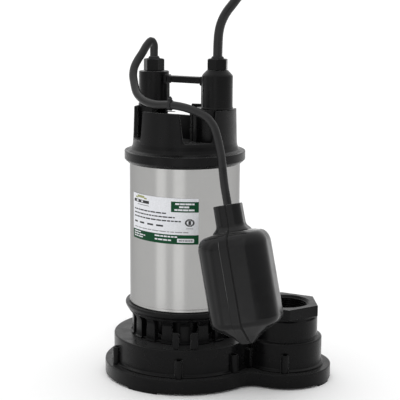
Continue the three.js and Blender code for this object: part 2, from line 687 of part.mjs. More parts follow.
addGeometry('float_cord', cord(FLOAT_CORD_PLACES, FLOAT_CORD_RADIUS, 30), CORD_JACKET);
// The hanging stretch starts in a round knuckle at the point where it swings.
const knuckle = new THREE.SphereGeometry(FLOAT_CORD_RADIUS, 12, 8);
knuckle.translate(...SWING_POINT);
add('float_tether', solid(cord(TETHER_PLACES, FLOAT_CORD_RADIUS, 8)).add(solid(knuckle)), CORD_JACKET);

// ---------- cable tie ----------
const TIE_PLACE = new THREE.Vector3(-6.2, -51.4, 288);
const tieFrame = new THREE.Group();
tieFrame.position.copy(TIE_PLACE);
const tieDirection = new THREE.Vector3(24, -7, -0.4).normalize();
tieFrame.quaternion.setFromUnitVectors(new THREE.Vector3(0, 0, 1), tieDirection);
pump.add(tieFrame);
const tie = ring(FLOAT_CORD_RADIUS + GAP + 0.2, FLOAT_CORD_RADIUS + 1.7, -1.4, 1.4, 20);
add('cord_tie', tie, RUBBER, tieFrame);
const bracket = block(-4.5, 4.5, -1.5, 1.5, CROWN_TOP + GAP, 281.9).rotate([0, 0, -8]);
add('tie_bracket', bracket.translate([-6, -50.4, 0]), CHARCOAL);

// ---------- power cord, coil and plug ----------
const CORD_PLACES = [
  [35.06, -13.6, 334.8], [35.1, -13.6, 341], [35.3, -13.5, 348.3], [35.9, -13.3, 356.2], [37.3, -12.8, 364.1],
  [40.2, -12, 372], [44.1, -10.8, 378.9], [49.2, -8.6, 385.8], [55.5, -3.5, 395], [61, 7, 403.5],
  [64, 24, 408], [61.5, 42, 406], [53.5, 57, 399], [45.5, 67, 391.5], [38.9, 72.8, 384.2],
  [32.8, 75.5, 376.7], [28.5, 76.5, 369.3], [25.3, 77.2, 360.8], [23.6, 77.8, 352.2], [22.9, 78.4, 339.3],
  [22.5, 79.2, 324.3], [22, 80.3, 300], [21.7, 82.3, 250], [22, 83.3, 200], [22.4, 84.4, 150],
  [23.1, 86.5, 110], [24.4, 90.8, 72], [29.1, 99.6, 38], [36.5, 110.9, 13], [40.1, 120.5, 5.2],
  [39.9, 127.6, 4.8],
];
addGeometry('power_cord', cord(CORD_PLACES, POWER_CORD_RADIUS, 44), CORD_JACKET);

const COIL_CENTRE = [-21.7, 153.5];
const COIL_INNER = 33.5;
const COIL_OUTER = 61.5;
const COIL_TOP = 28.2;
const coil = turned([[COIL_INNER, 0.2], [COIL_OUTER - 2, 0.2], [COIL_OUTER, 3], [COIL_OUTER, COIL_TOP - 3],
  [COIL_OUTER - 2, COIL_TOP], [COIL_INNER, COIL_TOP]]);
add('power_cord_coil', coil.translate([...COIL_CENTRE, 0]), CORD_JACKET);

// The plug lies on the coil, pointing away from the pump.
const plugFrame = new THREE.Group();
plugFrame.position.set(...COIL_CENTRE, 0);
plugFrame.rotation.z = radians(8.78);
pump.add(plugFrame);
const PLUG_X = 37;
const PLUG_Z = COIL_TOP + 12.4;
const TAIL_PLACES = [
  [0, -47.5, 33.2], [12, -46, 33.4], [23.5, -40.5, 34.2], [32, -31.5, 36], [36.2, -21, 38.4],
  [PLUG_X, -10.5, 40.2], [PLUG_X, -4.3, PLUG_Z],
];
addGeometry('power_cord_tail', cord(TAIL_PLACES, POWER_CORD_RADIUS, 8), CORD_JACKET, plugFrame);

const PLUG_END = 60;
function plugBody() {
  const relief = turned([[0, -4], [5.6, -4], [7.4, 24], [11, 26], [0, 26]], 20);
  const body = loft([[24, 9, 8, 5], [27, 13, 11, 6], [36, 14, 12, 6], [PLUG_END, 14.5, 12, 4]]);
  return relief.add(body).rotate([-90, 0, 0]).translate([PLUG_X, 0, PLUG_Z]);
}
add('plug_body', plugBody(), RUBBER, plugFrame);
const bladeStart = PLUG_END + GAP;
for (const [name, x] of [['plug_blade_left', -6.35], ['plug_blade_right', 6.35]]) {
  const blade = block(x - 0.75, x + 0.75, bladeStart, bladeStart + 17, -2, 4.3);
  add(name, blade.translate([PLUG_X, 0, PLUG_Z]), BRASS, plugFrame);
}
const pin = disc(2.4, bladeStart, bladeStart + 20, 0, 0, 12).rotate([-90, 0, 0]);
add('plug_ground_pin', pin.translate([PLUG_X, 0, PLUG_Z - 7]), BRASS, plugFrame);

export default pump;
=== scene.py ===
import math
import random

import bmesh
import bpy
import numpy as np
from mathutils import Matrix, Quaternion, Vector


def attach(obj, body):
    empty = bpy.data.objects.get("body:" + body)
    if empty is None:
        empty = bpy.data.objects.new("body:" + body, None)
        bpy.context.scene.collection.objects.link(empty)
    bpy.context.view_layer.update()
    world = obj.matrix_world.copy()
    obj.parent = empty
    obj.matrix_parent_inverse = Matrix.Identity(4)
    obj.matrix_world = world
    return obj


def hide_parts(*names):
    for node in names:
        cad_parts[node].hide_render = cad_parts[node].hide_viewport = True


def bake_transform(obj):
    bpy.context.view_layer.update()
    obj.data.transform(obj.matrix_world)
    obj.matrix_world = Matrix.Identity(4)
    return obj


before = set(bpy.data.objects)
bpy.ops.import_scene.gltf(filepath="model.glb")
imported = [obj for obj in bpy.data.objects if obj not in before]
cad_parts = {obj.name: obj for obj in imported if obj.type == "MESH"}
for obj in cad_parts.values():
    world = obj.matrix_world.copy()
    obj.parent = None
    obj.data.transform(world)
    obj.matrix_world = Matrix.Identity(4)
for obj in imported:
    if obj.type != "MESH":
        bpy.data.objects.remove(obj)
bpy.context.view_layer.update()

MM = 0.001
TAU = math.tau
SHARP_DEGREES = 32
ROUND_SHARP_DEGREES = 40
scene = bpy.context.scene

# ---------- camera ----------
CAMERA_PLACE = Vector((0.1994, -1.1868, 0.4084))
CAMERA_DIRECTION = Vector((-0.1501, 0.9715, -0.1833))
CAMERA_ROLL = math.radians(0.37)
CAMERA_LENS = 105.9
CAMERA_SENSOR = 36


def make_camera():
    data = bpy.data.cameras.new("camera")
    data.lens = CAMERA_LENS
    data.sensor_width = CAMERA_SENSOR
    camera = bpy.data.objects.new("camera", data)
    turn = CAMERA_DIRECTION.to_track_quat("-Z", "Y") @ Quaternion((0, 0, 1), CAMERA_ROLL)
    camera.matrix_world = Matrix.Translation(CAMERA_PLACE) @ turn.to_matrix().to_4x4()
    scene.collection.objects.link(camera)
    scene.camera = camera


make_camera()


# ---------- smooth paths ----------
SPAN_STEPS = 24


def smooth_path(places, spacing):
    """Centripetal Catmull-Rom line through the places, as points at an even spacing."""
    points = [Vector(p) for p in places]
    points.insert(0, points[0] * 2 - points[1])
    points.append(points[-1] * 2 - points[-2])
    dense = []
    for i in range(1, len(points) - 2):
        p0, p1, p2, p3 = points[i - 1:i + 3]
        t0 = 0.0
        t1 = t0 + (p1 - p0).length ** 0.5
        t2 = t1 + (p2 - p1).length ** 0.5
        t3 = t2 + (p3 - p2).length ** 0.5
        for k in range(SPAN_STEPS):
            t = t1 + (t2 - t1) * k / SPAN_STEPS
            a1 = p0.lerp(p1, (t - t0) / (t1 - t0))
            a2 = p1.lerp(p2, (t - t1) / (t2 - t1))
            a3 = p2.lerp(p3, (t - t2) / (t3 - t2))
            b1 = a1.lerp(a2, (t - t0) / (t2 - t0))
            b2 = a2.lerp(a3, (t - t1) / (t3 - t1))
            dense.append(b1.lerp(b2, (t - t1) / (t2 - t1)))
    dense.append(points[-2])
    return even_points(dense, spacing)


def even_points(dense, spacing):
    """Points at an even spacing along a dense line."""
    line = np.array([tuple(p) for p in dense])
    steps = np.linalg.norm(np.diff(line, axis=0), axis=1)
    along = np.concatenate([[0.0], np.cumsum(steps)])
    count = max(2, round(along[-1] / spacing) + 1)
    wanted = np.linspace(0, along[-1], count)
    columns = [np.interp(wanted, along, line[:, axis]) for axis in range(3)]
    return [Vector(p) for p in np.stack(columns, axis=1)]


# ---------- cords ----------
FLOAT_CORD_DIAMETER = 0.0083
POWER_CORD_DIAMETER = 0.0093
FLOAT_CORD_SPACING = 0.0015
POWER_CORD_SPACING = 0.003

FLOAT_CORD_ROUTE = [
    (-0.03506, 0.0136, 0.3250), (-0.03506, 0.0136, 0.3322), (-0.0351, 0.0135, 0.3370),
    (-0.0351, 0.0130, 0.3428), (-0.0372, 0.0108, 0.3472), (-0.0412, 0.0074, 0.3430),
    (-0.0450, 0.0032, 0.3356), (-0.0490, -0.0010, 0.3284), (-0.0515, -0.0059, 0.3218),
    (-0.0519, -0.0110, 0.3147), (-0.0500, -0.0164, 0.3074), (-0.0444, -0.0276, 0.2966),
    (-0.0340, -0.0382, 0.2900), (-0.0217, -0.0458, 0.2876), (-0.0062, -0.0514, 0.2880),
    (0.0023, -0.0528, 0.2872), (0.0103, -0.0534, 0.2856), (0.0176, -0.0536, 0.2832),
    (0.0240, -0.0539, 0.2806), (0.0284, -0.0543, 0.2784), (0.0318, -0.0547, 0.2759),
    (0.0348, -0.0551, 0.2724), (0.0364, -0.0554, 0.2703), (0.0386, -0.0558, 0.2661),
    (0.0408, -0.0568, 0.2600), (0.0434, -0.0584, 0.2508), (0.0460, -0.0602, 0.2393),
    (0.0500, -0.0640, 0.2120), (0.0523, -0.0660, 0.2010), (0.0538, -0.0671, 0.1938),
    (0.0550, -0.0682, 0.1880),
]
POWER_CORD_ROUTE = [
    (0.03506, -0.0136, 0.3270), (0.03506, -0.0136, 0.3348), (0.0351, -0.0136, 0.3410),
    (0.0353, -0.0135, 0.3483), (0.0359, -0.0133, 0.3562), (0.0373, -0.0128, 0.3641),
    (0.0402, -0.0120, 0.3720), (0.0441, -0.0108, 0.3789), (0.0492, -0.0086, 0.3858),
    (0.0555, -0.0035, 0.3950), (0.0610, 0.0070, 0.4035), (0.0640, 0.0240, 0.4080),
    (0.0615, 0.0420, 0.4060), (0.0535, 0.0570, 0.3990), (0.0455, 0.0670, 0.3915),
    (0.0389, 0.0728, 0.3842), (0.0328, 0.0755, 0.3767), (0.0285, 0.0765, 0.3693),
    (0.0253, 0.0772, 0.3608), (0.0236, 0.0778, 0.3522), (0.0229, 0.0784, 0.3393),
    (0.0225, 0.0792, 0.3243), (0.0220, 0.0803, 0.3000), (0.0217, 0.0823, 0.2500),
    (0.0220, 0.0833, 0.2000), (0.0224, 0.0844, 0.1500), (0.0231, 0.0865, 0.1100),
    (0.0244, 0.0908, 0.0720), (0.0291, 0.0996, 0.0380), (0.0365, 0.1109, 0.0130),
    (0.0401, 0.1205, 0.0052), (0.0399, 0.1276, 0.0048),
]

COIL_CENTRE = (-0.0217, 0.1535)
COIL_TURN = math.radians(8.78)
COIL_RADII = (0.0382, 0.0475, 0.0568)
COIL_LAYERS = (0.00468, 0.01398, 0.02328, 0.03262)
# Each step of the coil: degrees turned so far, and the number of the radius and of the layer
# there. Between equal numbers the cord runs level and round; between different ones it crosses.
COIL_DEGREES_A_POINT = 6
COIL_STEPS = [
    (0, 2, 0), (300, 2, 0), (350, 1, 0), (660, 1, 0), (710, 0, 0), (950, 0, 0), (1010, 0, 1),
    (1260, 0, 1), (1310, 1, 1), (1620, 1, 1), (1670, 2, 1), (1910, 2, 1), (1970, 2, 2),
    (2220, 2, 2), (2270, 1, 2), (2580, 1, 2), (2630, 0, 2), (2720, 0, 2), (2780, 0, 3),
]
PLUG_X = 0.037
PLUG_Z = 0.0406
# The tail climbs off the coil and turns into the plug, in the frame of the coil and plug.
PLUG_TAIL = [
    (0.0135, -0.0362, 0.0330), (0.0235, -0.0312, 0.0342), (0.0314, -0.0236, 0.0363),
    (0.0356, -0.0150, 0.0388), (0.0369, -0.0080, 0.0402), (PLUG_X, -0.0010, PLUG_Z),
    (PLUG_X, 0.0060, PLUG_Z),
]


def from_coil(x, y, z):
    """A point of the coil's frame, in the pump's frame."""
    c, s = math.cos(COIL_TURN), math.sin(COIL_TURN)
    return Vector((COIL_CENTRE[0] + c * x - s * y, COIL_CENTRE[1] + s * x + c * y, z))


def coil_points():
    points = []
    for (a0, r0, z0), (a1, r1, z1) in zip(COIL_STEPS, COIL_STEPS[1:]):
        count = max(2, round((a1 - a0) / COIL_DEGREES_A_POINT))
        for k in range(count):
            t = k / count
            ease = t * t * (3 - 2 * t)
            angle = math.radians(a0 + (a1 - a0) * t)
            radius = COIL_RADII[r0] + (COIL_RADII[r1] - COIL_RADII[r0]) * ease
            height = COIL_LAYERS[z0] + (COIL_LAYERS[z1] - COIL_LAYERS[z0]) * ease
            points.append(from_coil(radius * math.cos(angle), radius * math.sin(angle), height))
    return points


def mesh_from(name, verts, faces):
    mesh = bpy.data.meshes.new(name)
    mesh.from_pydata([tuple(v) for v in verts], [], faces)
    mesh.validate()
    obj = bpy.data.objects.new(name, mesh)
    scene.collection.objects.link(obj)
    return obj


def ring_faces(rings, count):
    """Faces of a closed solid through rings of `count` points each."""
    faces = []
    for i in range(rings - 1):
        for k in range(count):
            a, b = i * count + k, i * count + (k + 1) % count
            faces.append((a, b, b + count, a + count))
    faces.append(tuple(reversed(range(count))))
    faces.append(tuple(range((rings - 1) * count, rings * count)))
    return faces


def tube(name, points, radius, sides=24):
    """Closed round tube along a line of points in metres."""
    verts = []
    tangent = (points[1] - points[0]).normalized()
    side = tangent.orthogonal().normalized()
    last = len(points) - 1
    for i, point in enumerate(points):
        ahead = points[min(i + 1, last)] - points[max(i - 1, 0)]
        turn = tangent.rotation_difference(ahead.normalized())
        side = (turn @ side).normalized()
        tangent = ahead.normalized()
        up = tangent.cross(side)
        for k in range(sides):
            angle = TAU * k / sides
            verts.append(point + (side * math.cos(angle) + up * math.sin(angle)) * radius)
    obj = mesh_from(name, verts, ring_faces(len(points), sides))
    obj.data.shade_smooth()
    obj.data.set_sharp_from_angle(angle=math.radians(ROUND_SHARP_DEGREES))
    return obj


float_path = smooth_path(FLOAT_CORD_ROUTE, FLOAT_CORD_SPACING)
float_cord = tube("float_cord_jacket", float_path, FLOAT_CORD_DIAMETER / 2)
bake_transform(float_cord)
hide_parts("float_cord", "float_tether")

power_places = POWER_CORD_ROUTE + coil_points() + [from_coil(*p) for p in PLUG_TAIL]
power_path = smooth_path(power_places, POWER_CORD_SPACING)
power_cord = tube("power_cord_jacket", power_path, POWER_CORD_DIAMETER / 2)
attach(power_cord, "pump")
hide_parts("power_cord", "power_cord_coil", "power_cord_tail")


# ---------- solid helpers (millimetres) ----------
class Solid:
    """Points and faces of one closed surface, in millimetres."""

    def __init__(self, verts, faces):
        self.verts = [Vector(v) for v in verts]
        self.faces = faces

    def moved(self, x, y=0.0):
        return self.placed(Matrix.Translation((x, y, 0)))

    def turned(self, degrees):
        return self.placed(Matrix.Rotation(math.radians(degrees), 4, "Z"))

    def placed(self, matrix):
        return Solid([matrix @ v for v in self.verts], self.faces)


def polar(radius, degrees):
    angle = math.radians(degrees)
    return radius * math.cos(angle), radius * math.sin(angle)


def arc_points(x, y, radius, start, end, steps):
    """Points of an arc without its last one, from start to end in radians."""
    angles = [start + (end - start) * i / steps for i in range(steps)]
    return [(x + radius * math.cos(a), y + radius * math.sin(a)) for a in angles]


def rounded(corners, steps=5):
    """Outline of (x, y, radius) corners with each corner turned on its own radius."""
    outline = []
    count = len(corners)
    for i, corner in enumerate(corners):
        here = Vector(corner[:2])
        radius = corner[2] if len(corner) > 2 else 0
        if not radius:
            outline.append(tuple(here))
            continue
        before = Vector(corners[i - 1][:2]) - here
        after = Vector(corners[(i + 1) % count][:2]) - here
        half = before.angle(after) / 2
        reach = min(radius / math.tan(half), before.length * 0.49, after.length * 0.49)
        radius = reach * math.tan(half)
        middle = (before.normalized() + after.normalized()).normalized()
        centre = here + middle * (radius / math.sin(half))
        start = here + before.normalized() * reach - centre
        end = here + after.normalized() * reach - centre
        first = math.atan2(start.y, start.x)
        sweep = (math.atan2(end.y, end.x) - first + math.pi) % TAU - math.pi
        for k in range(steps + 1):
            angle = first + sweep * k / steps
            outline.append((centre.x + radius * math.cos(angle), centre.y + radius * math.sin(angle)))
    return outline


def lathe(profile, sides=160, steps=5):
    """Turned solid about +Z from a closed outline of (radius, z, corner radius) points."""
    outline = rounded(profile, steps)
    verts = []
    rows = []
    for r, z in outline:
        if r < 1e-6:
            rows.append([len(verts)] * sides)
            verts.append((0, 0, z))
            continue
        rows.append(list(range(len(verts), len(verts) + sides)))
        verts.extend((x, y, z) for x, y in arc_points(0, 0, r, 0, TAU, sides))
    faces = []
    for i, row in enumerate(rows):
        other = rows[(i + 1) % len(rows)]
        for k in range(sides):
            j = (k + 1) % sides
            face = []
            for v in (row[k], row[j], other[j], other[k]):
                if v not in face:
                    face.append(v)
            if len(face) > 2:
                faces.append(tuple(face))
    return Solid(verts, faces)


def loft(rings):
    """Closed solid through rings of the same number of points."""
    return Solid([v for ring in rings for v in ring], ring_faces(len(rings), len(rings[0])))


def inset_outline(outline, inset):
    """Each point of a counter-clockwise outline moved inwards by the inset."""
    moved = []
    count = len(outline)
    for i in range(count):
        here = Vector(outline[i])
        along = (here - Vector(outline[i - 1])).normalized()
        ahead = (Vector(outline[(i + 1) % count]) - here).normalized()
        n0, n1 = Vector((-along.y, along.x)), Vector((-ahead.y, ahead.x))
        middle = (n0 + n1).normalized()
        moved.append(tuple(here + middle * (inset / max(middle.dot(n0), 0.3))))
    return moved


def edge_rows(z0, z1, bottom, top):
    """(inset, z) rows of a slab whose two edges are turned on the given radii."""
    steps = 4
    rows = []
    for k in range(steps + 1 if bottom else 1):
        angle = math.pi / 2 * k / steps
        rows.append((bottom * (1 - math.sin(angle)), z0 + bottom * (1 - math.cos(angle))))
    for k in range(steps + 1 if top else 1):
        angle = math.pi / 2 * k / steps
        rows.append((top * (1 - math.cos(angle)), z1 - top * (1 - math.sin(angle))))
    return rows


def slab(outline, z0, z1, bottom=0.0, top=0.0):
    """Upright solid on a counter-clockwise outline, with turned edges."""
    rings = []
    for inset, z in edge_rows(z0, z1, bottom, top):
        ring = inset_outline(outline, inset) if inset else outline
        rings.append([(x, y, z) for x, y in ring])
    return loft(rings)


def rectangle(x0, x1, y0, y1, corner):
    return rounded([(x0, y0, corner), (x1, y0, corner), (x1, y1, corner), (x0, y1, corner)], 4)


def block(x0, x1, y0, y1, z0, z1, corner=0.8, edge=0.5):
    return slab(rectangle(x0, x1, y0, y1, corner), z0, z1, edge, edge)


def disc(radius, z0, z1, edge=0.0, sides=48):
    return lathe([(0, z0), (radius, z0, edge), (radius, z1, edge), (0, z1)], sides)


def arc_cutter(inner, outer, centre, width, z0, z1, corner, chamfer=None, draft=0.0):
    """Tool that cuts a round-cornered window through a wall about +Z; width is in degrees.

    The chamfer is (radius of the wall's outside, size), for a bevelled outer edge. The draft is
    how many degrees wider the window is at its top than at its bottom.
    """
    columns = 10
    middle = (inner + outer) / 2
    half = math.radians(width / 2) * middle
    outline = rectangle(-half, half, z0, z1, corner)
    # Long level edges are split so that they follow the wall.
    dense = []
    for i, (x, z) in enumerate(outline):
        x2, z2 = outline[(i + 1) % len(outline)]
        parts = max(1, round(abs(x2 - x) / (2 * half) * columns))
        dense.extend((x + (x2 - x) * k / parts, z + (z2 - z) * k / parts) for k in range(parts))
    rows = [(outer, 0.0), (inner, 0.0)]
    if chamfer:
        wall, size = chamfer
        rows = [(outer, outer - wall + size), (wall - size, 0.0), (inner, 0.0)]
    rings = []
    for radius, grown in rows:
        shape = inset_outline(dense, -grown) if grown else dense
        ring = []
        for x, z in shape:
            wider = 1 + draft / width * ((z - z0) / (z1 - z0) - 0.5)
            ring.append((*polar(radius, centre + math.degrees(x / middle) * wider), z))
        rings.append(ring)
    return loft(rings)


def make(name, solid):
    obj = mesh_from(name, [v * MM for v in solid.verts], solid.faces)
    work = bmesh.new()
    work.from_mesh(obj.data)
    bmesh.ops.recalc_face_normals(work, faces=work.faces)
    work.to_mesh(obj.data)
    work.free()
    return obj


def carve(obj, steps):
    """Applies (operation, solid) steps to a piece, in order."""
    names = {"add": "UNION", "cut": "DIFFERENCE", "keep": "INTERSECT"}
    tools = []
    for operation, solid in steps:
        tool = make("tool", solid)
        modifier = obj.modifiers.new(operation, "BOOLEAN")
        modifier.operation = names[operation]
        modifier.solver = "MANIFOLD"
        modifier.object = tool
        tools.append(tool)
    bpy.context.view_layer.update()
    shaped = bpy.data.meshes.new_from_object(obj.evaluated_get(bpy.context.evaluated_depsgraph_get()))
    obj.modifiers.clear()
    old = obj.data
    shaped.name = obj.name
    obj.data = shaped
    bpy.data.meshes.remove(old)
    for tool in tools:
        mesh = tool.data
        bpy.data.objects.remove(tool)
        bpy.data.meshes.remove(mesh)
    if not obj.data.polygons:
        raise RuntimeError(f"{obj.name} has nothing left after carving")


def smooth(obj, angle=SHARP_DEGREES):
    obj.data.shade_smooth()
    obj.data.set_sharp_from_angle(angle=math.radians(angle))
    weighted = obj.modifiers.new("weighted_normal", "WEIGHTED_NORMAL")
    weighted.keep_sharp = True


def piece(name, solid, node, material, steps=(), body="pump", place=None):
    """A finished piece: shaped, shaded, riding on its body and standing for a CAD node."""
    obj = make(name, solid)
    if steps:
        carve(obj, steps)
    if place is not None:
        obj.data.transform(place)
    smooth(obj)
    obj.data.materials.clear()
    obj.data.materials.append(material)
    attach(obj, body)
    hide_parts(node)
    return obj


# ---------- materials ----------
class Look:
    """Node material on one Principled shader, with helpers for its procedural detail."""

    def __init__(self, name, roughness, metallic=0.0, specular=0.5):
        self.material = bpy.data.materials.new(name)
        self.material.use_nodes = True
        self.tree = self.material.node_tree
        self.tree.nodes.clear()
        self.shader = self.add("ShaderNodeBsdfPrincipled")
        output = self.add("ShaderNodeOutputMaterial")
        self.tree.links.new(self.shader.outputs["BSDF"], output.inputs["Surface"])
        self.shader.inputs["Metallic"].default_value = metallic
        self.shader.inputs["Roughness"].default_value = roughness
        self.shader.inputs["Specular IOR Level"].default_value = specular
        self.place = self.add("ShaderNodeTexCoord").outputs["Object"]
        self.normal = None

    def add(self, kind, **settings):
        node = self.tree.nodes.new(kind)
        for key, value in settings.items():
            setattr(node, key, value)
        return node

    def link(self, source, target):
        self.tree.links.new(source, target)

    def noise(self, scale, detail, stretch=(1, 1, 1), roughness=0.55):
        """Noise with about `scale` cells in a metre, drawn out by the stretch."""
        mapping = self.add("ShaderNodeMapping")
        mapping.inputs["Scale"].default_value = [scale * s for s in stretch]
        self.link(self.place, mapping.inputs["Vector"])
        node = self.add("ShaderNodeTexNoise")
        node.inputs["Scale"].default_value = 1.0
        node.inputs["Detail"].default_value = detail
        node.inputs["Roughness"].default_value = roughness
        self.link(mapping.outputs["Vector"], node.inputs["Vector"])
        return node.outputs["Fac"]

    def wave(self, cells):
        """Level bands, `cells` of them in a metre."""
        node = self.add("ShaderNodeTexWave", wave_type="BANDS", bands_direction="Z", wave_profile="SIN")
        node.inputs["Scale"].default_value = cells * math.pi / 10
        node.inputs["Distortion"].default_value = 0.0
        self.link(self.place, node.inputs["Vector"])
        return node.outputs["Fac"]

    def spread(self, value, low, high, start=0.35, end=0.65):
        """A value taken from start..end to low..high."""
        node = self.add("ShaderNodeMapRange")
        node.inputs["From Min"].default_value = start
        node.inputs["From Max"].default_value = end
        node.inputs["To Min"].default_value = low
        node.inputs["To Max"].default_value = high
        self.link(value, node.inputs["Value"])
        return node.outputs["Result"]

    def blend(self, fac, a, b):
        """Colour between a and b; each is a colour or a socket."""
        node = self.add("ShaderNodeMix", data_type="RGBA")
        self.link(fac, node.inputs["Factor"])
        for value, socket in ((a, node.inputs["A"]), (b, node.inputs["B"])):
            if isinstance(value, tuple):
                socket.default_value = (*value, 1)
            else:
                self.link(value, socket)
        return node.outputs["Result"]

    def mottled(self, noise, colour, dark, light):
        """The colour, between two shades of itself."""
        return self.blend(self.spread(noise, 0, 1), shade(colour, dark), shade(colour, light))

    def worn(self, amount):
        """How far a point is on a convex edge, from 0 to the amount."""
        geometry = self.add("ShaderNodeNewGeometry")
        return self.spread(geometry.outputs["Pointiness"], 0, amount, 0.53, 0.62)

    def combine(self, operation, *values):
        """Result of a Math node; each value is a number or a socket."""
        node = self.add("ShaderNodeMath", operation=operation)
        for value, socket in zip(values, node.inputs):
            if isinstance(value, float):
                socket.default_value = value
            else:
                self.link(value, socket)
        return node.outputs["Value"]

    def distance_from_plane(self, normal, offset):
        across = self.add("ShaderNodeVectorMath", operation="DOT_PRODUCT")
        across.inputs[1].default_value = normal
        self.link(self.place, across.inputs[0])
        return self.combine("ABSOLUTE", self.combine("SUBTRACT", across.outputs["Value"], offset))

    def colour(self, value):
        self.link(value, self.shader.inputs["Base Color"])

    def rough(self, value):
        self.link(value, self.shader.inputs["Roughness"])

    def bump(self, height, distance, strength):
        node = self.add("ShaderNodeBump")
        node.inputs["Distance"].default_value = distance
        node.inputs["Strength"].default_value = strength
        self.link(height, node.inputs["Height"])
        if self.normal is not None:
            self.link(self.normal, node.inputs["Normal"])
        self.normal = node.outputs["Normal"]
        self.link(self.normal, self.shader.inputs["Normal"])


def shade(colour, factor):
    return tuple(channel * factor for channel in colour)


def moulded(name, colour, roughness, specular, sheen, grain=0.00004, wear=0.5, seam=None):
    """Moulded thermoplastic: fine spark grain, faint flow mottling and paler rubbed edges.

    A seam, as (normal, offset, inner, outer), gets painted shade: it is black and fully rough up to the inner
    distance from its plane, fading out by the outer one.
    """
    look = Look(name, roughness, specular=specular)
    look.shader.inputs["Sheen Weight"].default_value = sheen
    look.shader.inputs["Sheen Roughness"].default_value = 0.35
    base = look.mottled(look.noise(28, 4), colour, 0.8, 1.25)
    rubbed = look.blend(look.worn(wear), base, shade(colour, 2.6))
    dust = look.spread(look.noise(420, 5, roughness=0.7), 0, 0.25, 0.62, 0.74)
    skin = look.blend(dust, rubbed, shade(colour, 3.2))
    rough = look.spread(look.noise(75, 4), roughness - 0.06, roughness + 0.07)
    # Painted shade in the seam's groove: black colour and full roughness near the seam's plane.
    if seam:
        normal, offset, *fade = seam
        away = look.distance_from_plane(normal, offset)
        skin = look.blend(look.spread(away, 0, 1, *fade), shade(colour, 0.1), skin)
        rough = look.combine("MAXIMUM", rough, look.spread(away, 1, 0, *fade))
    look.colour(skin)
    look.rough(rough)
    look.bump(look.noise(2600, 2), grain, 0.35)
    look.bump(look.noise(160, 2), 0.00010, 0.12)
    return look.material


def stainless(name, colour, roughness):
    """Stainless tube with fine polishing lines that run up the shell."""
    look = Look(name, roughness, metallic=1.0)
    look.shader.inputs["Specular Tint"].default_value = (0.62, 0.62, 0.62, 1)
    lines = look.noise(2200, 3, stretch=(1, 1, 0.006))
    cloud = look.noise(16, 3, stretch=(1, 1, 0.5))
    base = look.blend(look.spread(lines, 0, 1, 0.3, 0.7), shade(colour, 0.965), shade(colour, 1.03))
    look.colour(look.blend(look.spread(cloud, 0, 0.35), base, shade(colour, 0.93)))
    smudge = look.spread(look.noise(48, 5), 0.0, 0.05, 0.5, 0.7)
    drawn = look.spread(lines, roughness - 0.035, roughness + 0.035, 0.3, 0.7)
    look.rough(look.combine("ADD", drawn, smudge))
    look.bump(lines, 0.000006, 0.5)
    return look.material


def machined(name, colour, roughness):
    """Turned or rolled metal with fine rings and a little tarnish."""
    look = Look(name, roughness, metallic=1.0)
    rings = look.noise(1500, 2, stretch=(0.02, 0.02, 1))
    tarnish = look.noise(110, 4)
    base = look.mottled(tarnish, colour, 0.72, 1.1)
    look.colour(look.blend(look.worn(0.4), base, shade(colour, 1.35)))
    look.rough(look.spread(tarnish, roughness + 0.1, roughness - 0.05))
    look.bump(rings, 0.00002, 0.4)
    return look.material


def laminated(name):
    """Stack of half-millimetre electrical steel sheets, lightly rusted at random."""
    look = Look(name, 0.5, metallic=0.85)
    sheets = look.wave(2000)
    rust = look.noise(90, 5)
    steel = look.blend(sheets, (0.10, 0.10, 0.105), (0.26, 0.26, 0.27))
    look.colour(look.blend(look.spread(rust, 0, 0.5, 0.52, 0.7), steel, (0.16, 0.085, 0.05)))
    look.rough(look.spread(rust, 0.42, 0.62))
    look.bump(sheets, 0.00008, 0.6)
    return look.material


def wound(name):
    """Enamelled copper wire laid in bundles."""
    look = Look(name, 0.35, metallic=0.75)
    wires = look.noise(1100, 2, stretch=(1, 1, 0.12))
    look.colour(look.blend(look.spread(wires, 0, 1), (0.20, 0.065, 0.025), (0.62, 0.27, 0.12)))
    look.rough(look.spread(wires, 0.5, 0.3))
    look.bump(wires, 0.0003, 0.7)
    return look.material


def rubbery(name, colour, roughness=0.62, specular=0.3):
    """Vulcanised rubber or cord jacket with a dull bloom."""
    look = Look(name, roughness, specular=specular)
    bloom = look.noise(60, 5)
    base = look.mottled(bloom, colour, 0.8, 1.35)
    specks = look.spread(look.noise(900, 3), 0, 0.3, 0.64, 0.76)
    look.colour(look.blend(specks, base, shade(colour, 2.6)))
    look.rough(look.spread(bloom, roughness - 0.08, roughness + 0.08))
    look.bump(look.noise(1500, 3), 0.00005, 0.4)
    return look.material


def plain_film(name, colour, roughness=0.38, fibre=0.05):
    """Printed label film: nearly flat ink with slight unevenness."""
    look = Look(name, roughness, specular=0.12)
    look.colour(look.mottled(look.noise(700, 4), colour, 1 - fibre, 1 + fibre))
    look.rough(look.spread(look.noise(130, 3), roughness - 0.05, roughness + 0.06))
    look.bump(look.noise(300, 2), 0.00003, 0.3)
    return look.material


def fine_grained(name, colour, roughness, cells, specular=0.5):
    """Ceramic, carbon and similar pieces with a fine even grain."""
    look = Look(name, roughness, specular=specular)
    grain = look.noise(cells, 4)
    look.colour(look.mottled(grain, colour, 0.85, 1.1))
    look.rough(look.spread(look.noise(cells / 6, 3), roughness - 0.06, roughness + 0.08))
    look.bump(grain, 0.00002, 0.4)
    return look.material


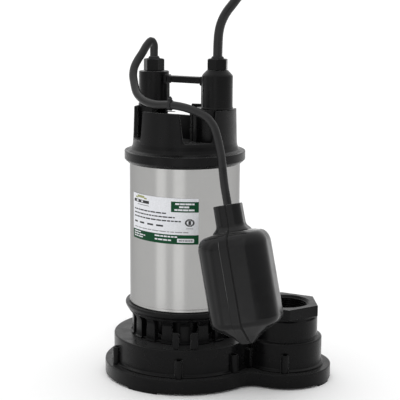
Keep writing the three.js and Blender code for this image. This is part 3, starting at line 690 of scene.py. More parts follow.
PUMP_PLASTIC = moulded("pump_plastic", (0.0024, 0.0024, 0.0026), 0.30, 0.12, sheen=0.16)
STAINLESS = stainless("stainless", (0.36, 0.358, 0.352), 0.20)
STEEL = machined("steel", (0.40, 0.40, 0.41), 0.32)
# Steel darkened to painted shade, for the motor shaft and seal spring that stand in the shade behind the
# strainer's slots.
SHADED_STEEL = machined("shaded_steel", (0.07, 0.07, 0.072), 0.42)
LAMINATION = laminated("lamination")
WINDING = wound("winding")
BRASS = machined("brass", (0.62, 0.45, 0.17), 0.28)
RUBBER = rubbery("rubber", (0.010, 0.010, 0.011))
CORD_JACKET = rubbery("cord_jacket", (0.0085, 0.0085, 0.0088), 0.32, 0.30)
CERAMIC = fine_grained("ceramic", (0.72, 0.69, 0.62), 0.35, 1500)
CARBON = fine_grained("carbon", (0.008, 0.008, 0.009), 0.6, 1200, 0.08)
IMPELLER_PLASTIC = fine_grained("impeller_plastic", (0.004, 0.004, 0.0045), 0.75, 900, 0.05)
INNER_PLASTIC = fine_grained("inner_plastic", (0.62, 0.62, 0.58), 0.5, 700)
LABEL_WHITE = plain_film("label_white", (0.76, 0.77, 0.80))
LABEL_GREEN = plain_film("label_green", (0.001, 0.052, 0.018), fibre=0.12)
LABEL_INK = plain_film("label_ink", (0.035, 0.036, 0.038), fibre=0.15)
LABEL_GREY = plain_film("label_grey", (0.25, 0.25, 0.26), fibre=0.1)
LABEL_OLIVE = plain_film("label_olive", (0.33, 0.34, 0.16), fibre=0.1)


# ---------- main dimensions (mm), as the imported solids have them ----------
GAP = 0.3
FLANGE_TOP = 15.7
FLANGE_RADIUS = 83.6
LOBE_RADIUS = 48.5
WAIST_FILLET = 20
SKIRT_WALL = 2.9
DRUM_TOP = 44
DISCHARGE_X = 106.5
HEX_BOTTOM = 69
HEX_TOP = 80.5
PORT_RADIUS = 24.4
SCREW_CIRCLE = 75.6
LOBE_SCREW_CIRCLE = 40.4
CROWN_DECK = 248.5
CROWN_TOP = 281
POST_ANGLE = -21.2
FLOAT_POST_ANGLE = POST_ANGLE + 180
POST_OFFSET = 37.6


# ---------- base outline ----------
def base_outline(inset=0.0):
    """The pump's circle and the discharge lobe, joined by hollow fillets."""
    main, lobe, fillet = FLANGE_RADIUS - inset, LOBE_RADIUS - inset, WAIST_FILLET + inset
    to_main, to_lobe = main + fillet, lobe + fillet
    x = (DISCHARGE_X ** 2 + to_main ** 2 - to_lobe ** 2) / (2 * DISCHARGE_X)
    y = math.sqrt(to_main ** 2 - x ** 2)
    a, b = math.atan2(y, x), math.atan2(y, x - DISCHARGE_X)
    return (arc_points(0, 0, main, a, TAU - a, 150)
            + arc_points(x, -y, fillet, math.pi - a, math.pi - b, 16)
            + arc_points(DISCHARGE_X, 0, lobe, -b, b, 72)
            + arc_points(x, y, fillet, b - math.pi, a - math.pi, 16))


def base_slab(z0, z1, bottom=0.0, top=0.0, inset=0.0):
    rows = edge_rows(z0, z1, bottom, top)
    return loft([[(x, y, z) for x, y in base_outline(inset + row)] for row, z in rows])


SCREW_PLACES = []
for side in (-1, 1):
    SCREW_PLACES += [polar(SCREW_CIRCLE, side * angle) for angle in (148, 84.5, 38)]
    lobe_x, lobe_y = polar(LOBE_SCREW_CIRCLE, side * 84)
    SCREW_PLACES.append((lobe_x + DISCHARGE_X, lobe_y))


# ---------- volute casing ----------
def hexagon(corner_radius, corner_angle, corner=1.5):
    return rounded([(*polar(corner_radius, corner_angle + 60 * i), corner) for i in range(6)], 4)


def sector(inner, outer, centre, width, z0, z1, steps=14):
    """Ring sector about +Z, as a slab; width is in degrees."""
    a0, a1 = centre - width / 2, centre + width / 2
    outline = [polar(outer, a0 + (a1 - a0) * i / steps) for i in range(steps + 1)]
    outline += [polar(inner, a1 + (a0 - a1) * i / steps) for i in range(steps + 1)]
    return slab(outline, z0, z1)


def threaded_bore():
    """Tapered 1 1/2 in pipe thread, as the shape that is cut out."""
    pitch, depth, sides = 2.209, 1.55, 144
    bottom, top = 56.0, HEX_TOP + 0.6
    rows = math.ceil((top - bottom) / (pitch / 10))
    rings = []
    for i in range(rows + 1):
        z = bottom + (top - bottom) * i / rows
        ring = []
        for k in range(sides):
            phase = (z / pitch - k / sides) % 1
            crest = min(max(abs(phase * 2 - 1) * 1.25 - 0.125, 0), 1)
            r = PORT_RADIUS - (HEX_TOP - z) / 32 - depth * crest
            ring.append((r * math.cos(TAU * k / sides), r * math.sin(TAU * k / sides), z))
        rings.append(ring)
    return loft(rings).moved(DISCHARGE_X)


def volute():
    drum = lathe([
        (0, 12), (76.5, 12), (76.5, 17.1, 1.0), (74, 18.6, 1.2), (74, DRUM_TOP, 1.5), (0, DRUM_TOP)], 200)
    lobe_drum = lathe([
        (0, 12), (41, 12), (41, 17.1, 1.0), (38.8, 18.6, 1.2), (38.8, 45, 1.7), (34, 45.8, 1.2),
        (34, 66.2, 0.6), (32.2, 67.2, 0.4), (32.2, 70), (0, 70)], 144)
    port_chamfer = lathe([
        (0, HEX_TOP - 2.2), (PORT_RADIUS - 1, HEX_TOP - 2.2), (PORT_RADIUS + 3, HEX_TOP + 1.8),
        (0, HEX_TOP + 1.8)], 144)
    added = [drum, lobe_drum.moved(DISCHARGE_X),
             slab(hexagon(36.9, 41.6), HEX_BOTTOM, HEX_TOP, 1.0, 0.9).moved(DISCHARGE_X)]
    added += [disc(4.2, 14, 34.5, 0.7, 40).moved(x, y) for x, y in SCREW_PLACES]
    added += [sector(FLANGE_RADIUS - SKIRT_WALL, FLANGE_RADIUS - 0.05, a, 23, 0, 3)
              for a in (111.5, 180, 248.5)]
    added += [sector(LOBE_RADIUS - SKIRT_WALL, LOBE_RADIUS - 0.05, a, 22, 0, 3).moved(DISCHARGE_X)
              for a in (-26, 26)]
    added += [block(70, 81, -2.5, 2.5, 14, 36, 0.8, 0.7).turned(21.4 * side) for side in (-1, 1)]
    added += [block(66, 70.5, -w / 2, w / 2, 43, 60.5, 0.9, 0.6).turned(a)
              for a, w in ((-87.5, 6), (-71.9, 7.2))]
    hollows = [
        base_slab(-1, 9, inset=SKIRT_WALL),
        disc(62, 8, 39, 2.0, 144),
        lathe([(0, 38), (33, 38), (30, 41, 1), (30, 46), (0, 46)], 120),
        block(40, DISCHARGE_X, -14, 14, 12, 36, 1, 1),
        lathe([(0, 11), (22.4, 11, 2), (22.4, 58), (0, 58)], 144).moved(DISCHARGE_X),
        threaded_bore(),
        port_chamfer.moved(DISCHARGE_X),
    ]
    hollows += [disc(2, -1, 29, 0, 24).moved(x, y) for x, y in SCREW_PLACES]
    hollows += [disc(2.5, 33.1, 35, 0, 32).moved(x, y) for x, y in SCREW_PLACES]
    steps = [("add", shape) for shape in added] + [("cut", shape) for shape in hollows]
    piece("volute_body", base_slab(1.5, FLANGE_TOP, 0.8, 1.1), "volute_casing", PUMP_PLASTIC,
          steps)


volute()


# ---------- base plate and screws ----------
def base_plate():
    """Bottom cover with a foot pad in the middle, eight spokes and a ring rib."""
    steps = [("add", disc(12, 0, 4.5, 0.9, 72))]
    steps += [("add", block(10, 66, -1.1, 1.1, 1.9, 3.6, 0.4, 0.4).turned(45 * i)) for i in range(8)]
    steps += [("add", lathe([(40, 1.9), (42.2, 1.9, 0.4), (42.2, 3.6), (40, 3.6)], 120))]
    steps += [("cut", disc(2, -1, 9, 0, 24).moved(x, y)) for x, y in SCREW_PLACES]
    plate = base_slab(3.2, 7.2, 0.5, 0.3, inset=SKIRT_WALL + GAP)
    piece("base_plate_moulding", plate, "base_plate", PUMP_PLASTIC, steps)


base_plate()

for number, (x, y) in enumerate(SCREW_PLACES, 1):
    shape = lathe([
        (0, 0.9), (3.3, 0.9, 0.9), (3.3, 2.9, 0.3), (1.7, 2.9), (1.7, 26), (0.4, 27.5), (0, 27.5)], 32)
    slot = block(-2, 2, -0.4, 0.4, 0.5, 2.1, 0.1, 0.05)
    cross = [("cut", slot.turned(turn).moved(x, y)) for turn in (20, 110)]
    piece(f"screw_{number}", shape.moved(x, y), f"base_screw_{number}", STEEL, cross)


# ---------- strainer and seal housing ----------
STRAINER_SLOTS = 18
RIB_ANGLE = -79.3  # one rib stands here
SLOT_BOTTOM = 46.4
SLOT_TOP = 68.6
SLOT_WIDTH, SLOT_DRAFT = 9.2, 1.8  # degrees


def strainer():
    ring = lathe([
        (49, 44.3), (56.2, 44.3), (56.2, 45.7, 0.5), (55.0, 46.4, 0.3), (54.8, 63.2, 1.5), (55.7, 65.8, 1.5),
        (58.6, 69.4, 0.5), (58.9, 70.2), (49, 70.2)], 216)
    slots = []
    for i in range(STRAINER_SLOTS):
        angle = RIB_ANGLE + 360 / STRAINER_SLOTS * (i + 0.5)
        slots.append(("cut", arc_cutter(44, 66, angle, SLOT_WIDTH, SLOT_BOTTOM, SLOT_TOP, 0.8,
                                        draft=SLOT_DRAFT)))
        slots.append(("cut", arc_cutter(53.4, 60, angle, 8.2, 44.4, 48, 0.1)))
    piece("strainer", ring, "strainer_ring", PUMP_PLASTIC, slots)


strainer()

# The carrier is a collar under the shell, with a spigot in it, a hub, and a skirt behind the slots.
seal_carrier = lathe([
    (16, 70.5), (38.2, 70.5), (38.2, 50.5, 0.6), (40, 50.5, 0.6), (40, 70.5), (58.8, 70.5),
    (59.4, 70.9, 0.4), (61.0, 73.4, 1.5), (61.9, 75.8, 1.2), (61.8, 77.3, 0.6), (61.2, 77.9, 0.4),
    (58.6, 78.1, 0.3), (52.8, 78.1), (52.8, 82.1, 0.4), (50.8, 82.1, 0.4), (50.8, 76, 0.5),
    (24, 76, 1), (22, 93.5, 0.5), (17.8, 93.5), (17.8, 82), (16, 82)], 216)
piece("seal_carrier", seal_carrier, "seal_housing", PUMP_PLASTIC)

# ---------- motor shell ----------
shell_tube = lathe([
    (56.1, 78.4), (57.3, 78.4, 0.3), (57.8, 79.0, 0.4), (57.8, 79.9, 0.5), (57.2, 80.8, 0.6),
    (57, 82.0, 1.5), (57, 232), (56.1, 232)], 240, 3)
piece("shell_tube", shell_tube, "motor_shell", STAINLESS)

# ---------- rating label ----------
LABEL_START, LABEL_TURN = -144.8, 78.4
LABEL_BOTTOM, LABEL_HEIGHT = 149.8, 46.5
LABEL_SKEW = 1.4
LABEL_INNER, LABEL_OUTER = 57.3, 57.6
LABEL_COLUMNS = 48
LABEL_SEED = 11
WHITE, GREEN, INK, GREY, OLIVE = range(5)


def printed_words(patches, u0, u1, v, height, ink, draw, word=0.035, gap=0.010):
    """A line of print, as bars of word length with no letters in it."""
    u = u0
    while u < u1 - word * 0.4:
        end = min(u + word * draw.uniform(0.6, 1.7), u1)
        patches.append((u, end, v - height / 2, v + height / 2, ink))
        u = end + gap


def printed_disc(patches, u, v, across, high, ink):
    """A round patch, as rows of bars."""
    rows = 8
    for k in range(rows):
        t = (k + 0.5) / rows * 2 - 1
        half = across * math.sqrt(1 - t * t)
        low = v + high * (2 * k / rows - 1)
        patches.append((u - half, u + half, low, low + high * 2 / rows, ink))


def label_patches():
    """Printed areas (left, right, bottom, top, ink) in shares of the film; later ones lie on top."""
    draw = random.Random(LABEL_SEED)
    patches = [
        (0.11, 0.25, 0.940, 0.975, OLIVE), (0.07, 0.29, 0.905, 0.940, OLIVE),
        (0.12, 0.24, 0.905, 0.925, WHITE), (0.03, 0.33, 0.815, 0.880, INK),
        (0.09, 0.13, 0.830, 0.865, WHITE), (0.19, 0.22, 0.830, 0.865, WHITE),
        (0.11, 0.33, 0.765, 0.780, GREY), (0.645, 1.0, 0.700, 0.930, GREEN),
        (0, 1, 0, 0.205, GREEN),
    ]
    for v, u0, u1 in ((0.880, 0.700, 0.945), (0.815, 0.750, 0.880), (0.750, 0.690, 0.950)):
        printed_words(patches, u0, u1, v, 0.036, WHITE, draw, 0.050, 0.006)
    for v, u1 in ((0.660, 0.605), (0.580, 0.695), (0.500, 0.785)):
        printed_words(patches, 0.036, u1, v, 0.029, INK, draw, 0.045, 0.009)
    for u0, u1 in ((0.040, 0.110), (0.160, 0.245), (0.300, 0.395), (0.440, 0.540)):
        patches.append((u0, u1, 0.362, 0.400, INK))
    printed_words(patches, 0.036, 0.900, 0.262, 0.020, GREY, draw, 0.06)
    printed_disc(patches, 0.885, 0.475, 0.062, 0.080, INK)
    printed_disc(patches, 0.885, 0.475, 0.040, 0.052, WHITE)
    patches += [(0.868, 0.902, 0.430, 0.520, INK), (0.840, 0.930, 0.340, 0.354, GREY)]
    for v, u1 in ((0.163, 0.190), (0.112, 0.262), (0.062, 0.245)):
        printed_words(patches, 0.032, u1, v, 0.024, WHITE, draw, 0.05)
    for v, u1 in ((0.158, 0.725), (0.080, 0.665)):
        printed_words(patches, 0.420, u1, v, 0.030, WHITE, draw, 0.05)
    patches.append((0.725, 0.940, 0.040, 0.125, WHITE))
    printed_words(patches, 0.745, 0.922, 0.082, 0.034, GREY, draw, 0.03, 0.006)
    return patches


def grid_lines(values):
    """The values in order, with near-equal ones left out."""
    lines = sorted(set(values))
    return [line for i, line in enumerate(lines) if i == 0 or line - lines[i - 1] > 1e-6]


def rating_label():
    """Thin closed film on the shell, cut into a grid on the borders of its printed patches."""
    patches = label_patches()
    us = grid_lines([i / LABEL_COLUMNS for i in range(LABEL_COLUMNS + 1)]
                    + [e for p in patches for e in p[:2]])
    vs = grid_lines([0.0, 1.0] + [e for p in patches for e in p[2:4]])
    verts, faces, inks = [], [], []
    for radius in (LABEL_OUTER, LABEL_INNER):
        for v in vs:
            for u in us:
                x, y = polar(radius, LABEL_START + LABEL_TURN * u)
                z = LABEL_BOTTOM + LABEL_HEIGHT * v + LABEL_SKEW * (0.5 - u)
                verts.append((x * MM, y * MM, z * MM))
    columns, rows = len(us), len(vs)
    back = columns * rows

    def quad(a, b, c, d, ink):
        faces.append((a, b, c, d))
        inks.append(ink)

    for j in range(rows - 1):
        for i in range(columns - 1):
            u, v = (us[i] + us[i + 1]) / 2, (vs[j] + vs[j + 1]) / 2
            ink = WHITE
            for u0, u1, v0, v1, patch in patches:
                if u0 < u < u1 and v0 < v < v1:
                    ink = patch
            a = j * columns + i
            quad(a, a + 1, a + 1 + columns, a + columns, ink)
            quad(back + a, back + a + columns, back + a + 1 + columns, back + a + 1, WHITE)
    for i in range(columns - 1):
        top = (rows - 1) * columns
        quad(i, back + i, back + i + 1, i + 1, WHITE)
        quad(top + i, top + i + 1, back + top + i + 1, back + top + i, WHITE)
    for j in range(rows - 1):
        a, b = j * columns, j * columns + columns - 1
        quad(a, a + columns, back + a + columns, back + a, WHITE)
        quad(b, back + b, back + b + columns, b + columns, WHITE)
    obj = mesh_from("label_film", verts, faces)
    for material in (LABEL_WHITE, LABEL_GREEN, LABEL_INK, LABEL_GREY, LABEL_OLIVE):
        obj.data.materials.append(material)
    obj.data.polygons.foreach_set("material_index", inks)
    smooth(obj, ROUND_SHARP_DEGREES)
    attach(obj, "pump")
    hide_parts("rating_label")


rating_label()


# ---------- top cap ----------
WINDOW_ANGLES = (43.8, 134.5, 225.5, -43.8)
WINDOW_WIDTH, WINDOW_DRAFT = 41, 12.5
PANEL_ANGLES = (89.2, -89.2)
PANEL_WIDTH, PANEL_DROP = 62, 1.7
CROWN_WALL = 53.2
PEDESTAL_X = 29.8


def top_cap():
    body = lathe([
        (0, 238), (16, 238), (17.8, 237), (17.8, 214), (21, 214, 0.4), (22.5, 238, 0.5), (55.6, 238),
        (55.8, 232.3), (57.3, 232.3), (57.3, 225), (58.6, 225, 0.4), (61.4, 227.5, 0.7),
        (62.3, 228.7, 0.6), (62.3, 237, 0.9), (58.8, 237, 0.5), (55.6, 239, 1.6), (54, 242.4, 2.5),
        (53.5, 246, 1), (53, CROWN_TOP, 0.9), (49.8, CROWN_TOP, 0.8), (49.4, CROWN_DECK, 0.8),
        (0, CROWN_DECK)], 216)
    steps = []
    for angle in WINDOW_ANGLES:
        window = arc_cutter(44, 60, POST_ANGLE + angle, WINDOW_WIDTH, CROWN_DECK + 1, CROWN_TOP + 12, 2.0,
                            chamfer=(CROWN_WALL, 0.7), draft=WINDOW_DRAFT)
        # The window's flat faces leave slivers in the middle, which the sector takes away.
        rest = sector(44, 60, POST_ANGLE + angle, 34, 256, CROWN_TOP + 3, steps=24)
        steps += [("cut", window), ("cut", rest)]
    for angle in PANEL_ANGLES:
        lowered = sector(40, 60, POST_ANGLE + angle, PANEL_WIDTH, CROWN_TOP - PANEL_DROP, CROWN_TOP + 2,
                         steps=24)
        steps.append(("cut", lowered))
    foot = CROWN_DECK - 1
    inside = [
        disc(20, foot, CROWN_TOP, 0.8, 96).moved(PEDESTAL_X),
        block(-22, 20, -2.2, 2.2, foot, 273, 0.3, 0.7),
        disc(4.2, foot, CROWN_TOP, 0.6, 40).moved(-POST_OFFSET - 1),
        block(-47, -22, -2.2, 2.2, foot, 262, 0.3, 0.7),
    ]
    inside += [block(-47, -30, y - 3, y + 3, foot, CROWN_TOP, 0.6, 0.7) for y in (-12.5, 12.5)]
    flute = block(19, 20.9, -0.8, 0.8, foot, CROWN_TOP - 2, 0.4, 0.4)
    inside += [flute.turned(angle).moved(PEDESTAL_X) for angle in (-148, -126, -104, 104, 126, 148)]
    steps += [("add", shape.turned(POST_ANGLE)) for shape in inside]
    piece("cap_moulding", body, "top_cap", PUMP_PLASTIC, steps)


top_cap()


# ---------- cord posts, nuts and bushings ----------
POST_BOTTOM = 281.3
POST_TOP = 316.5
POWER_NUT_TOP = 331.5
FLOAT_NUT_TOP = 329.0
GLAND_BORE = 7.6


def on_post(shape, turn):
    return shape.moved(POST_OFFSET).turned(turn)


def post(name, node, shoulder, turn):
    profile = [(0, POST_BOTTOM), (16.2, POST_BOTTOM, 0.4), (16.2, POST_BOTTOM + 1.5, 0.6),
               (15.6, POST_BOTTOM + 2.1, 0.4)]
    if shoulder:
        profile += [(15.6, POST_TOP - 1.8, 0.8), (14.6, POST_TOP - 0.4, 0.4), (10.6, POST_TOP + 3.8, 0.6),
                    (0, POST_TOP + 3.8)]
    else:
        profile += [(15.6, POST_TOP, 0.9), (0, POST_TOP)]
    steps = [("add", block(20.2, 26, -3, 3, POST_BOTTOM, 312.4, 0.6, 0.6).turned(turn)),
             ("add", block(19.7, 27, -5.4, 5.4, 304.2, 313.2, 0.8, 0.7).turned(turn)),
             ("cut", on_post(disc(GLAND_BORE, POST_BOTTOM + 8, POST_TOP + 6, 0, 64), turn))]
    piece(name, on_post(lathe(profile, 112), turn), node, PUMP_PLASTIC, steps)


def nut(name, node, bottom, top, corner_angle, turn):
    shape = slab(hexagon(10.9, corner_angle, 0.5), bottom, top, 0.3, 0.3)
    turned = lathe([(0, bottom), (10.2, bottom), (10.9, bottom + 0.6), (10.9, top - 0.9), (9.6, top, 0.2),
                    (0, top)], 96)
    bore = lathe([(0, bottom - 1), (GLAND_BORE, bottom - 1), (GLAND_BORE, top - 1.4), (8.5, top + 0.2),
                  (0, top + 0.2)], 64)
    steps = [("keep", on_post(turned, turn)), ("cut", on_post(bore, turn))]
    piece(name, on_post(shape, turn), node, PUMP_PLASTIC, steps)


def bushing(name, node, cord_radius, top, turn):
    bore = cord_radius + 0.03
    profile = [(bore, 290), (7.3, 290), (7.3, top - 2.2, 1.0), (bore + 1.9, top - 0.4, 0.5),
               (bore + 1.3, top + 2.0, 0.6), (bore, top + 2.6)]
    piece(name, on_post(lathe(profile, 64), turn), node, RUBBER)


post("power_post", "power_gland_body", True, POST_ANGLE)
post("float_post", "float_gland_body", False, FLOAT_POST_ANGLE)
nut("power_nut", "power_gland_nut", 320.6, POWER_NUT_TOP, -68.8, POST_ANGLE)
nut("float_nut", "float_gland_nut", 316.8, FLOAT_NUT_TOP, 81.2, FLOAT_POST_ANGLE)
bushing("power_bushing", "power_cord_bushing", 4.65, POWER_NUT_TOP, POST_ANGLE)
bushing("float_bushing", "float_cord_bushing", 4.15, FLOAT_NUT_TOP, FLOAT_POST_ANGLE)


def carry_handle():
    """Bar between the posts, with a groove along each side."""
    bar = block(-19.4, 19.4, -5, 5, 305.8, 312.4, 0.5, 1.0).turned(POST_ANGLE)
    grooves = [("cut", block(-14.7, 16.2, y, y + 2.5, 307.6, 310.6, 0.5, 0.5).turned(POST_ANGLE))
               for y in (-6.3, 3.8)]
    piece("handle_bar", bar, "carry_handle", PUMP_PLASTIC, grooves)


carry_handle()


# ---------- float ----------
# Its own frame has the mouth of the neck at the origin and the tip below, and the seam on x = 0.
FLOAT_MOUTH = Vector((53.8, -67.1, 193.5)) * MM
FLOAT_LEAN, FLOAT_SPIN, FLOAT_HANG = 13, -6, 2.4  # degrees


def float_matrix():
    lean = Quaternion((*polar(1, -135), 0), math.radians(FLOAT_LEAN))
    spin = Quaternion((0, 0, 1), math.radians(FLOAT_SPIN))
    hang = Quaternion(-CAMERA_DIRECTION, math.radians(FLOAT_HANG))
    return Matrix.Translation(FLOAT_MOUTH) @ (hang @ lean @ spin).to_matrix().to_4x4()


FLOAT_PLACE = float_matrix()
SEAM_NORMAL = FLOAT_PLACE.to_3x3().col[0]
SEAM_OFFSET = FLOAT_PLACE.translation.dot(SEAM_NORMAL)
# The float's dark seam line is painted shade in the groove between its halves.
FLOAT_PLASTIC = moulded("float_plastic", (0.0036, 0.0036, 0.0039), 0.20, 0.22, 0.04, grain=0.00002,
                        wear=0.0, seam=(SEAM_NORMAL, SEAM_OFFSET, 0.0004, 0.0007))
FLOAT_WIDTH, FLOAT_DEPTH = 34.5, 28  # half sizes
FLOAT_WALL = 2.2
SEAM_BAR = 0.5
TIP_OFFSET = -3.5
BAND_HEIGHT, LIP_HEIGHT = 1.0, 1.7


def box_ring(z, half_x, half_y, corner, steps=12):
    """Counter-clockwise ring of a round-cornered rectangle at one height."""
    corner = min(corner, half_x - 0.05, half_y - 0.05)
    ring = []
    for quadrant, (sx, sy) in enumerate(((1, 1), (-1, 1), (-1, -1), (1, -1))):
        for k in range(steps + 1):
            angle = math.pi / 2 * (quadrant + k / steps)
            ring.append((sx * (half_x - corner) + corner * math.cos(angle),
                         sy * (half_y - corner) + corner * math.sin(angle), z))
    return ring


def float_sections(inset):
    """(z, half width, half depth, corner) from the tip to the foot of the neck."""
    w, d = FLOAT_WIDTH - inset, FLOAT_DEPTH - inset
    rows = [
        (-137 + inset * 1.6, 5.4 - inset / 2, 2.9 - inset / 2, 1.2),
        (-136.5 + inset * 1.6, 6.2 - inset / 2, 3.7 - inset / 2, 1.6),
        (-129 + inset, 14 - inset, 12 - inset, 6),
        (-128 + inset, 15.4 - inset, 13.2 - inset, 6.7),
    ]
    for k in range(9):
        angle = math.radians(61) * (8 - k) / 8
        shrink = 9 * (1 - math.cos(angle))
        rows.append((-112 + inset * 0.7 - 9 * math.sin(angle), w - shrink, d - shrink, 20 - shrink * 0.8))
    for k in range(11):
        angle = math.pi / 2 * k / 10
        shrink = 9 * (1 - math.cos(angle))
        rows.append((-42 - inset + 13.5 * math.sin(angle), w - shrink, d - shrink * 0.95, 20 - shrink * 0.7))
    rows += [(-27.7 - inset, 22 - inset, 18.5 - inset, 12), (-27 - inset, 18 - inset, 16 - inset, 10)]
    return rows


def float_skin(inset=0.0):
    """The float's body; its tip stands a little to one side."""
    rings = []
    for row in float_sections(inset):
        offset = TIP_OFFSET * min(max((-121 - row[0]) / 16, 0), 1)
        rings.append([(x + offset, y, z) for x, y, z in box_ring(*row)])
    return loft(rings)


def float_neck():
    rows = [(-30, 17.2, 15.1, 9), (-26.9, 17.7, 15.6, 9), (-26.0, 17.7, 15.6, 9), (-25.3, 17.2, 15.2, 9),
            (-22.8, 15.0, 13.2, 8.6), (-21.2, 14.2, 12.5, 8.5), (-19, 13.9, 12.2, 8.4), (-0.9, 13.7, 12, 8.4),
            (-0.4, 13.55, 11.85, 8.3), (-0.1, 13.2, 11.5, 8), (0, 12.7, 11, 7.6)]
    return loft([box_ring(*row) for row in rows])


def seam_groove():
    """Round bar that follows the seam from the neck, under the tip and up the back."""
    down = [(-d, z) for z, d in ((1, 12.0), (-19, 12.2), (-22.8, 13.2), (-25.3, 15.2), (-26.9, 15.6))]
    down += [(-row[2], row[0]) for row in reversed(float_sections(0.0))]
    loop = down + [(-y, z) for y, z in reversed(down)]
    line = [Vector((0, y, z)) for y, z in loop]
    rings = []
    for i, point in enumerate(line):
        ahead = (line[min(i + 1, len(line) - 1)] - line[max(i - 1, 0)]).normalized()
        across = Vector((1, 0, 0))
        up = ahead.cross(across)
        rings.append([point + (across * math.cos(TAU * k / 10) + up * math.sin(TAU * k / 10)) * SEAM_BAR
                      for k in range(10)])
    return loft(rings)


def skin_strip(x0, x1, z0, z1, outer, steps=()):
    """The part of a float skin that lies between two planes across the seam and two heights."""
    obj = make("strip", float_skin(outer))
    carve(obj, [*steps, ("keep", block(x0, x1, -60, 60, z0, z1, 0.1, 0.1))])
    shape = Solid([v.co / MM for v in obj.data.vertices], [tuple(p.vertices) for p in obj.data.polygons])
    mesh = obj.data
    bpy.data.objects.remove(obj)
    bpy.data.meshes.remove(mesh)
    return shape


def float_halves():
    """Two shells with a proud band and a lip beside the seam; the left one has a tongue in the right."""
    band = skin_strip(-8.5, 0.05, -127, -20, -BAND_HEIGHT)
    lip = skin_strip(-2.6, 0.05, -133, -20, -LIP_HEIGHT)
    edge_line = skin_strip(-9.0, -8.3, -126, -34, -1.6, [("cut", float_skin(0.5))])
    inside = [("cut", float_skin(3.8)), ("cut", disc(5.6, -40, 2, 0, 48))]
    tongue = [("add", skin_strip(-3.2, -GAP / 2, -150, 0, 1.9, inside)),
              ("add", skin_strip(-1.0, 2.6, -150, 0, 2.5, inside))]
    for side, x0, x1 in (("left", -60, -GAP / 2), ("right", GAP / 2, 60)):
        steps = [("add", float_neck()), ("add", band), ("add", lip), ("cut", float_skin(FLOAT_WALL)),
                 ("cut", seam_groove()), ("cut", edge_line), ("cut", disc(4.7, -36, 2, 0, 48)),
                 ("cut", disc(5.6, -2.2, 2, 0, 48)), ("keep", block(x0, x1, -60, 60, -160, 10, 0, 0))]
        if side == "left":
            steps += tongue
        piece(f"float_{side}", float_skin(), f"float_half_{side}", FLOAT_PLASTIC, steps,
              body="float", place=FLOAT_PLACE)


float_halves()
# The float, its cord and its switch are left out of reflections, so that the shell shows its own lines.
for name in ("float_left", "float_right", "float_cord_jacket", "ball_tube", "float_ball", "float_switch",
             "switch_lever"):
    bpy.data.objects[name].visible_glossy = False


# ---------- cable tie ----------
TIE_PLACE = Vector((-6.2, -51.4, 288)) * MM
TIE_DIRECTION = Vector((24, -7, -0.4))


def cord_tie():
    """Strap round the float's cord, with its head and tail up."""
    turn = Vector((0, 0, 1)).rotation_difference(TIE_DIRECTION.normalized())
    place = Matrix.Translation(TIE_PLACE) @ turn.to_matrix().to_4x4()
    up = math.degrees(math.atan2(*(turn.inverted() @ Vector((0, 0, 1))).yx))
    band = lathe([(4.2, -1.5), (5.5, -1.5, 0.3), (5.5, 1.5, 0.3), (4.2, 1.5)], 64)
    head = block(4.9, 7.4, -2.0, 2.0, -1.8, 1.8, 0.4, 0.4).turned(up + 12)
    tail = block(5.0, 8.6, -0.5, 0.5, -1.1, 1.1, 0.2, 0.2).turned(up + 4)
    piece("tie_strap", band, "cord_tie", RUBBER, [("add", head), ("add", tail)], place=place)


cord_tie()


# ---------- plug ----------
def plug_matrix():
    turn = Matrix.Translation((*COIL_CENTRE, 0)) @ Matrix.Rotation(COIL_TURN, 4, "Z")
    return turn @ Matrix.Translation((PLUG_X, 0, PLUG_Z)) @ Matrix.Rotation(-math.pi / 2, 4, "X")


PLUG_PLACE = plug_matrix()
PLUG_END = 60
BLADE_OFFSET = 6.35
PIN_OFFSET = 7


def plug_body():
    """Moulded plug with finger ridges and a ribbed strain relief."""
    rows = [(24, 8.4, 7.4, 5), (24.6, 9.2, 8.2, 5.4), (27, 12.4, 10.5, 6), (29, 13.3, 11.3, 6.2),
            (36, 14, 11.9, 6), (PLUG_END - 1.2, 14.5, 12, 4.4), (PLUG_END - 0.4, 14.3, 11.8, 4.2),
            (PLUG_END, 13.6, 11.1, 3.8)]
    relief = [(0, -4), (5.7, -4, 0.5)]
    for i in range(6):
        z = -0.6 + 4.0 * i
        radius = 5.8 + 0.28 * i
        relief += [(radius, z, 0.3), (radius - 1.0, z + 0.3, 0.2), (radius - 0.95, z + 1.7, 0.2),
                   (radius + 0.15, z + 2.0, 0.3)]
    relief += [(7.6, 25), (9.5, 26.5), (0, 26.5)]
    steps = [("add", lathe(relief, 64, 3))]
    for side in (-1, 1):
        for z in (34, 38.5, 43, 47.5):
            x0, x1 = sorted((side * 13.1, side * 16))
            steps.append(("cut", block(x0, x1, -7, 7, z, z + 2.4, 0.4, 0.6)))
    body = loft([box_ring(*row, 8) for row in rows])
    return piece("plug_moulding", body, "plug_body", RUBBER, steps, place=PLUG_PLACE)


def plug_blade(name, node, x):
    outline = rounded([(0, -4.3, 0.1), (16.2, -4.3, 1.3), (17, -3.2, 0.8), (17, 0.9, 0.8),
                       (16.2, 2.0, 1.3), (0, 2.0, 0.1)])
    blade = slab(outline, x - 0.75, x + 0.75, 0.18, 0.18)
    hole = disc(1.55, x - 2, x + 2, 0, 40).moved(12.6, -1.15)
    # The blade's length runs along the plug's axis and its thickness across the plug.
    lay = Matrix(((0, 0, 1, 0), (0, 1, 0, 0), (-1, 0, 0, PLUG_END + GAP), (0, 0, 0, 1)))
    flip = Matrix.Diagonal((1, 1, -1, 1))
    swap = Matrix.Translation((0, 0, 2 * (PLUG_END + GAP))) @ flip @ lay
    cut = [("cut", hole.placed(swap))]
    return piece(name, blade.placed(swap), node, BRASS, cut, place=PLUG_PLACE)


